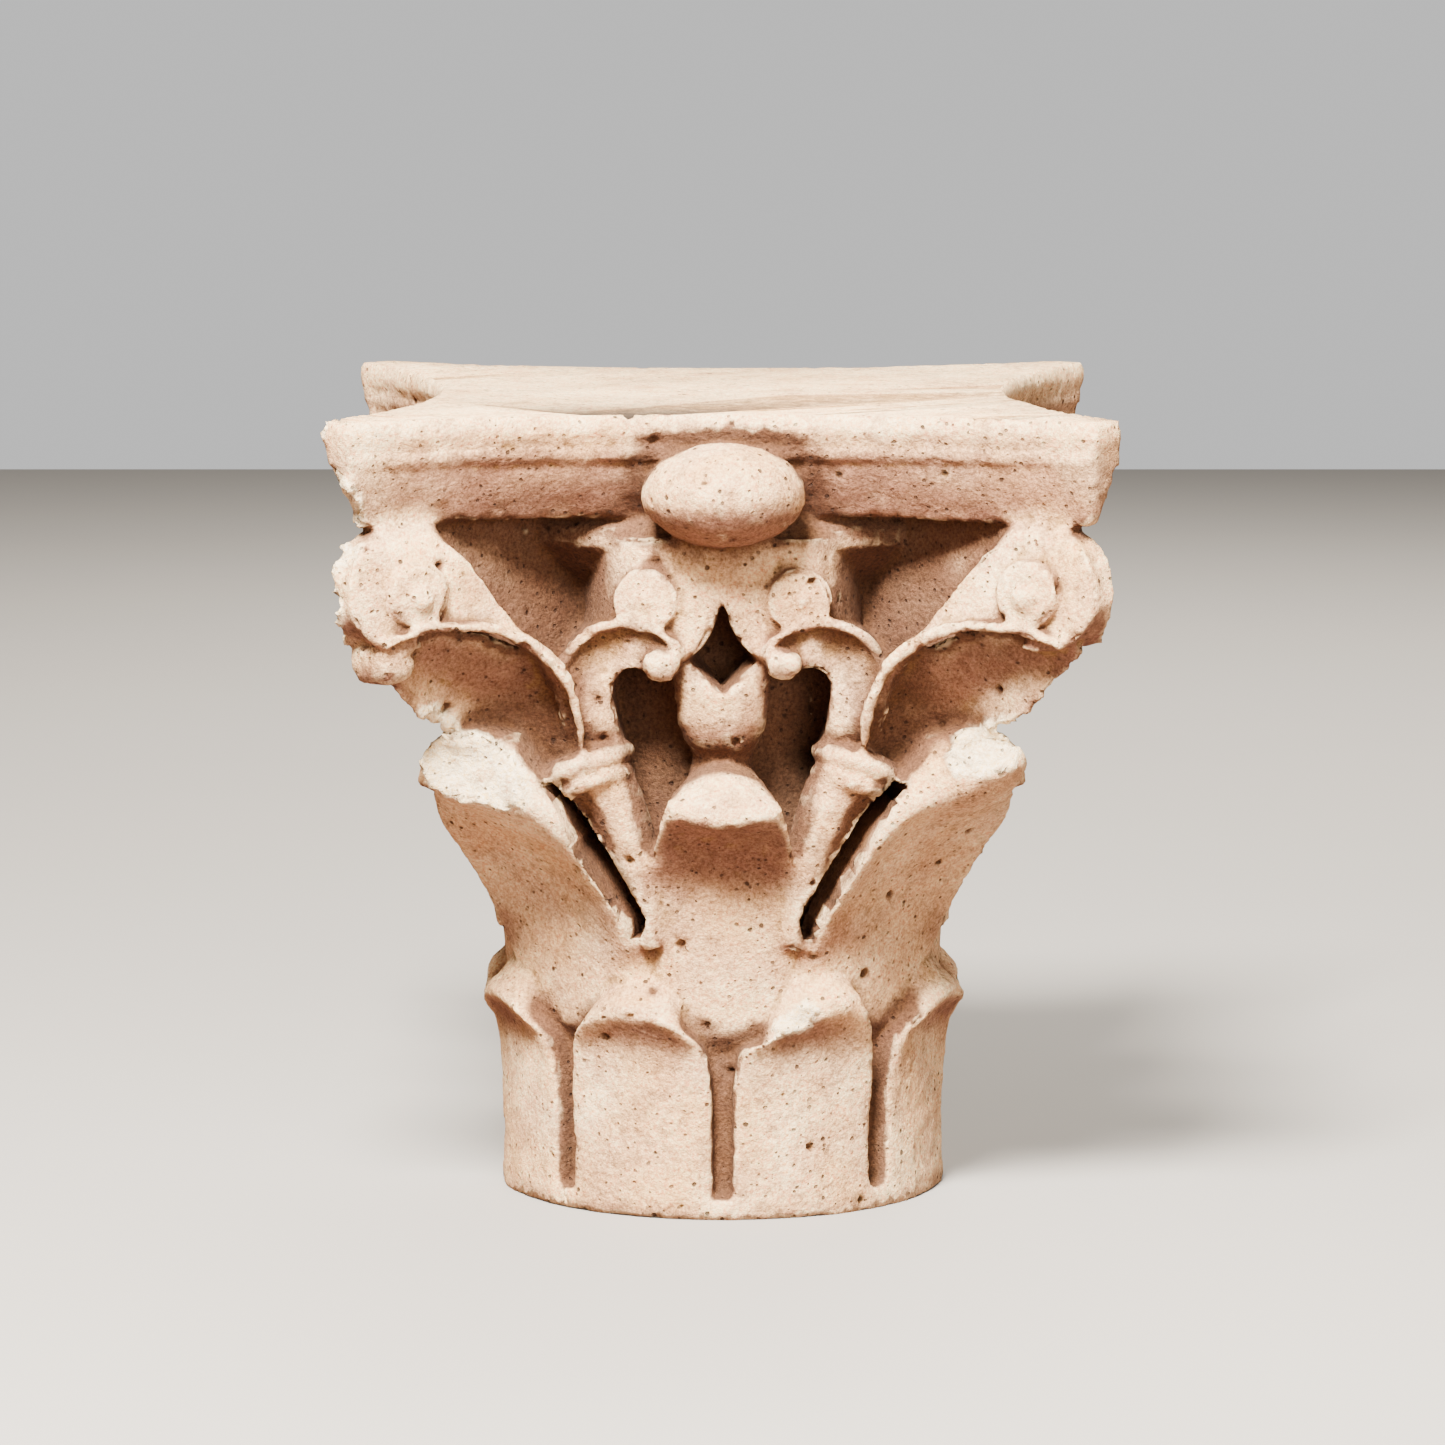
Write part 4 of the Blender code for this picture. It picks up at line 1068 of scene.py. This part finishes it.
stoneLook = {
    "cream": linear(229, 187, 138), "paleCream": linear(245, 215, 170), "ochre": linear(202, 154, 98),
    "mauve": linear(160, 111, 92), "brown": linear(74, 44, 28), "darkBrown": linear(42, 23, 14),
    "olive": linear(140, 106, 62), "fresh": linear(246, 228, 192),
    "shade": (0.14, 0.11, 0.08, 1.0), "light": (0.86, 0.87, 0.88, 1.0),
    "grainDepth": 0.0027, "speckDepth": 0.0020, "specular": 0.25,
}
# Cloudy patches: size, share, softness, detail and a shift that sets them apart.
stonePatches = {
    "pale": (0.075, 0.50, 0.20, 4.0, 0.0), "ochre": (0.045, 0.48, 0.12, 8.0, 1.3),
    "mauve": (0.030, 0.46, 0.14, 8.0, 2.1), "rosyShade": (0.012, 0.55, 0.30, 7.0, 3.3),
    "stain": (0.030, 0.42, 0.12, 8.0, 4.2), "underShade": (0.040, 0.85, 0.25, 6.0, 8.3),
    "hollow": (0.010, 0.60, 0.20, 4.0, 5.1), "arris": (0.020, 0.60, 0.20, 6.0, 6.4),
    "hairs": (0.050, 0.40, 0.06, 3.0, 9.2), "grime": (0.0065, 0.42, 0.10, 5.0, 7.7),
    "grimy": (0.035, 0.60, 0.15, 3.0, 2.9),
}
# The floor and the backdrop look paler to the camera than the light they throw on the stone.
floorLook = {
    "colour": (0.32, 0.313, 0.306, 1.0), "glow": (0.15, 0.095, 0.075, 1.0), "roughness": 0.8,
    "size": 9.0, "paler": 1.03,
}


def mixed(tree, factor, first, second, blend="MIX"):
    # The colour inputs and output of a mix node come after those for numbers and vectors.
    wires = {0: factor, 6: first, 7: second}
    return addNode(tree, "ShaderNodeMix", wires, data_type="RGBA", blend_type=blend).outputs[2]


def mottleGroup():
    # Cloudy patches: a mask from 0 to 1 that covers a share of the surface.
    tree = newTree("mottle", "ShaderNodeTree", [
        ("Mask", "OUT", "NodeSocketFloat", None), ("Vector", "IN", "NodeSocketVector", None),
        ("Size", "IN", "NodeSocketFloat", 0.05), ("Share", "IN", "NodeSocketFloat", 0.5),
        ("Softness", "IN", "NodeSocketFloat", 0.12), ("Detail", "IN", "NodeSocketFloat", 4.0),
    ])
    given = addNode(tree, "NodeGroupInput").outputs
    cloud = noise(tree, given["Vector"], given["Size"], given["Detail"], 0.6)
    edge = sums(tree, "MULTIPLY_ADD", given["Share"], -0.5, 0.75)
    low = sums(tree, "SUBTRACT", edge, given["Softness"])
    high = sums(tree, "ADD", edge, given["Softness"])
    addNode(tree, "NodeGroupOutput", {"Mask": ramp(tree, cloud, low, high)})
    return tree


def speckGroup():
    # Small round pits: a mask that is 1 in the pits of the share of cells that have one.
    tree = newTree("speck", "ShaderNodeTree", [
        ("Mask", "OUT", "NodeSocketFloat", None), ("Vector", "IN", "NodeSocketVector", None),
        ("Size", "IN", "NodeSocketFloat", 0.005), ("Share", "IN", "NodeSocketFloat", 0.3),
        ("Width", "IN", "NodeSocketFloat", 0.25),
    ])
    given = addNode(tree, "NodeGroupInput").outputs
    scale = sums(tree, "DIVIDE", 1.0, given["Size"])
    wires = {"Vector": given["Vector"], "Scale": scale, "Detail": 2.0}
    swirl = addNode(tree, "ShaderNodeTexNoise", wires).outputs[1]
    bent = vectors(tree, "ADD", given["Vector"], scaled(tree, swirl, times(tree, given["Size"], 0.5)))
    cells = addNode(tree, "ShaderNodeTexVoronoi", {"Vector": bent, "Scale": scale})
    pick = addNode(tree, "ShaderNodeSeparateXYZ", {0: cells.outputs["Color"]})
    chosen = sums(tree, "LESS_THAN", pick.outputs[0], given["Share"])
    width = times(tree, given["Width"], sums(tree, "MULTIPLY_ADD", pick.outputs[1], 0.8, 0.4))
    hole = ramp(tree, cells.outputs["Distance"], times(tree, width, 0.5), width, 1.0, 0.0)
    addNode(tree, "NodeGroupOutput", {"Mask": times(tree, hole, chosen)})
    return tree


def groupNode(tree, group, wires):
    return addNode(tree, "ShaderNodeGroup", wires, node_tree=group).outputs[0]


def stoneMaterial(mottle, speck):
    look = stoneLook
    material = bpy.data.materials.new("weatheredLimestone")
    material.use_nodes = True
    tree = material.node_tree
    shader = tree.nodes["Principled BSDF"]
    place = addNode(tree, "ShaderNodeTexCoord").outputs["Object"]

    def mark(name):
        return addNode(tree, "ShaderNodeAttribute", attribute_name=name).outputs["Fac"]

    def patches(name):
        size, share, softness, detail, shift = stonePatches[name]
        moved = vectors(tree, "ADD", place, (shift, shift * 0.7, -shift))
        wires = {"Vector": moved, "Size": size, "Share": share, "Softness": softness, "Detail": detail}
        return groupNode(tree, mottle, wires)

    def overlap(first, *others):
        for other in others:
            first = times(tree, first, other)
        return first

    shelter, facing, ridge, fresh = mark("shelter"), mark("facing"), mark("ridge"), mark("fresh")
    # Painted shade on downward faces, partly staining: full above 0.3 m and mid-side, weaker below.
    spot = addNode(tree, "ShaderNodeSeparateXYZ", {0: place}).outputs
    diagonal = sums(tree, "ABSOLUTE", overlap(spot[0], spot[1]))
    underShadeWeight = sums(tree, "MAXIMUM", ramp(tree, spot[2], 0.24, 0.33), ramp(tree, diagonal, 0.012, 0.005))
    underShade = overlap(ramp(tree, facing, -0.05, -0.55), ramp(tree, underShadeWeight, 0.0, 1.0, 0.12, 1.0))
    upward = ramp(tree, facing, 0.15, 0.75)
    # Painted shade in the concave creases, laid on in olive patches.
    hollow = ramp(tree, ridge, -0.40, -1.2)
    arris = ramp(tree, ridge, 0.9, 2.2)
    # Painted shade in sheltered hollows, partly staining, from how closed in each point lies.
    shelterShade = ramp(tree, shelter, 0.08, 0.32)
    deep = ramp(tree, shelter, 0.12, 0.31)
    deepestShade = ramp(tree, shelter, 0.36, 0.70)
    # Painted warm shade: rosy mauve on the undersides and in the sheltered places.
    rosyShade = sums(tree, "MAXIMUM", overlap(underShade, 0.95), overlap(shelterShade, 0.65))
    rosyShade = overlap(rosyShade, sums(tree, "MULTIPLY_ADD", patches("rosyShade"), 0.25, 0.75))
    # Painted shade on the undersides in brown, partly staining, a little stronger where sheltered.
    brownStainAndShade = overlap(underShade, sums(tree, "MULTIPLY_ADD", shelterShade, 0.15, 0.62))
    lines = sums(tree, "ABSOLUTE", sums(tree, "SUBTRACT", noise(tree, place, 0.026, 7.0, 0.62), 0.5))
    hairs = overlap(ramp(tree, lines, 0.007, 0.001), patches("hairs"))

    # Each layer lies over the ones before it.
    colour = mixed(tree, patches("pale"), look["cream"], look["paleCream"])
    layers = (
        ("ochre", overlap(patches("ochre"), 0.50)), ("mauve", overlap(patches("mauve"), 0.38)),
        # The second mauve layer is painted warm shade on the undersides and in sheltered places.
        ("mauve", rosyShade), ("ochre", overlap(upward, patches("stain"), 0.6)),
        # Painted shade: brown on the undersides, partly staining, and olive in the concave creases.
        ("brown", overlap(brownStainAndShade, patches("underShade"))), ("olive", overlap(hollow, patches("hollow"), 0.75)),
        # Painted shade, partly staining: brown in the deep hollows, dark brown in the deepest.
        ("brown", overlap(deep, 0.88)), ("darkBrown", overlap(deepestShade, 0.28)),
        ("paleCream", overlap(arris, patches("arris"), 0.70)),
        ("fresh", overlap(fresh, sums(tree, "SUBTRACT", 1.0, deepestShade), 0.80)),
        ("brown", overlap(hairs, 0.50)), ("brown", overlap(patches("grime"), patches("grimy"), 0.32)),
    )
    for name, cover in layers:
        colour = mixed(tree, cover, colour, look[name])
    dust = noise(tree, place, 0.0020, 5.0, 0.80)
    dusty = mixed(tree, ramp(tree, dust, 0.25, 0.75), look["shade"], look["light"])
    colour = mixed(tree, 0.85, colour, dusty, "OVERLAY")
    specks = groupNode(tree, speck, {"Vector": place, "Size": 0.0075, "Share": 0.34, "Width": 0.21})
    tiny = groupNode(tree, speck, {"Vector": place, "Size": 0.0042, "Share": 0.34, "Width": 0.30})
    holes = sums(tree, "MAXIMUM", specks, overlap(tiny, 0.75))
    layers = (
        ("paleCream", overlap(ramp(tree, mark("chip"), 0.2, 0.8), 0.35)),
        ("darkBrown", overlap(ramp(tree, mark("pit"), 0.25, 0.85), 0.80)),
        ("darkBrown", overlap(holes, 0.85)),
    )
    for name, cover in layers:
        colour = mixed(tree, cover, colour, look[name])
    tree.links.new(colour, shader.inputs["Base Color"])

    grain = noise(tree, place, 0.0042, 6.0, 0.68)
    height = sums(tree, "MULTIPLY_ADD", holes, -look["speckDepth"], overlap(grain, look["grainDepth"]))
    bump = addNode(tree, "ShaderNodeBump", {"Strength": 1.0, "Distance": 1.0, "Height": height})
    tree.links.new(bump.outputs[0], shader.inputs["Normal"])
    tree.links.new(ramp(tree, dust, 0.3, 0.7, 0.84, 0.98), shader.inputs["Roughness"])
    shader.inputs["Metallic"].default_value = 0.0
    shader.inputs["Specular IOR Level"].default_value = look["specular"]
    return material


def floorMaterial(mottle):
    material = bpy.data.materials.new("paleFloor")
    material.use_nodes = True
    tree = material.node_tree
    shader = tree.nodes["Principled BSDF"]
    place = addNode(tree, "ShaderNodeTexCoord").outputs["Object"]
    cloud = groupNode(tree, mottle, {"Vector": place, "Size": 0.8, "Share": 0.5, "Softness": 0.3})
    base = floorLook["colour"]
    paler = tuple(min(part * floorLook["paler"], 1.0) for part in base)
    seen = addNode(tree, "ShaderNodeLightPath").outputs["Is Camera Ray"]
    shown = mixed(tree, seen, floorLook["glow"], mixed(tree, cloud, base, paler))
    tree.links.new(shown, shader.inputs["Base Color"])
    shader.inputs["Roughness"].default_value = floorLook["roughness"]
    return material


def addFloor(material):
    mesh = bpy.data.meshes.new("paleFloor")
    half = floorLook["size"] / 2
    corners = [(-half, -half, 0), (half, -half, 0), (half, half, 0), (-half, half, 0)]
    mesh.from_pydata(corners, [], [(0, 1, 2, 3)])
    mesh.materials.append(material)
    floor = bpy.data.objects.new("paleFloor", mesh)
    bpy.context.scene.collection.objects.link(floor)
    return floor


studio = {
    "cameraPlace": (0, -3.975, 0.799), "cameraPitch": 7.53, "lens": 168.5,
    "aim": (0, 0, 0.25), "backdrop": (0.70, 0.70, 0.70), "glow": (0.13, 0.13, 0.13),
    "warmth": (1.0, 0.91, 0.79),
    "lamps": (
        ("keyLamp", (-0.45, -1.80, 2.30), 690, 0.7),
        ("fillLamp", (1.2, -3.2, 0.7), 92, 1.6),
        ("rearLamp", (0.5, 2.6, 2.6), 220, 2.0),
    ),
}


def addStudio():
    scene = bpy.context.scene
    for name, place, power, size in studio["lamps"]:
        lamp = bpy.data.lights.new(name, "AREA")
        lamp.energy = power
        lamp.color = studio["warmth"]
        lamp.size = size
        item = bpy.data.objects.new(name, lamp)
        item.location = place
        item.rotation_euler = (Vector(studio["aim"]) - Vector(place)).to_track_quat("-Z", "Y").to_euler()
        scene.collection.objects.link(item)
    world = bpy.data.worlds.new("studio")
    world.use_nodes = True
    sky = world.node_tree.nodes["Background"]
    seen = addNode(world.node_tree, "ShaderNodeLightPath").outputs["Is Camera Ray"]
    shown = mixed(world.node_tree, seen, (*studio["glow"], 1.0), (*studio["backdrop"], 1.0))
    world.node_tree.links.new(shown, sky.inputs["Color"])
    scene.world = world
    camera = bpy.data.objects.new("camera", bpy.data.cameras.new("camera"))
    camera.data.lens = studio["lens"]
    camera.data.sensor_width = 36
    camera.location = studio["cameraPlace"]
    camera.rotation_euler = (radians(90 - studio["cameraPitch"]), 0, 0)
    scene.collection.objects.link(camera)
    scene.camera = camera


addStudio()
print("studio placed")
mottle, speck = mottleGroup(), speckGroup()
floor = addFloor(floorMaterial(mottle))
carved = buildCapital(stoneMaterial(mottle, speck))
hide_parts("capital")
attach(carved, "root")
print("capital placed")
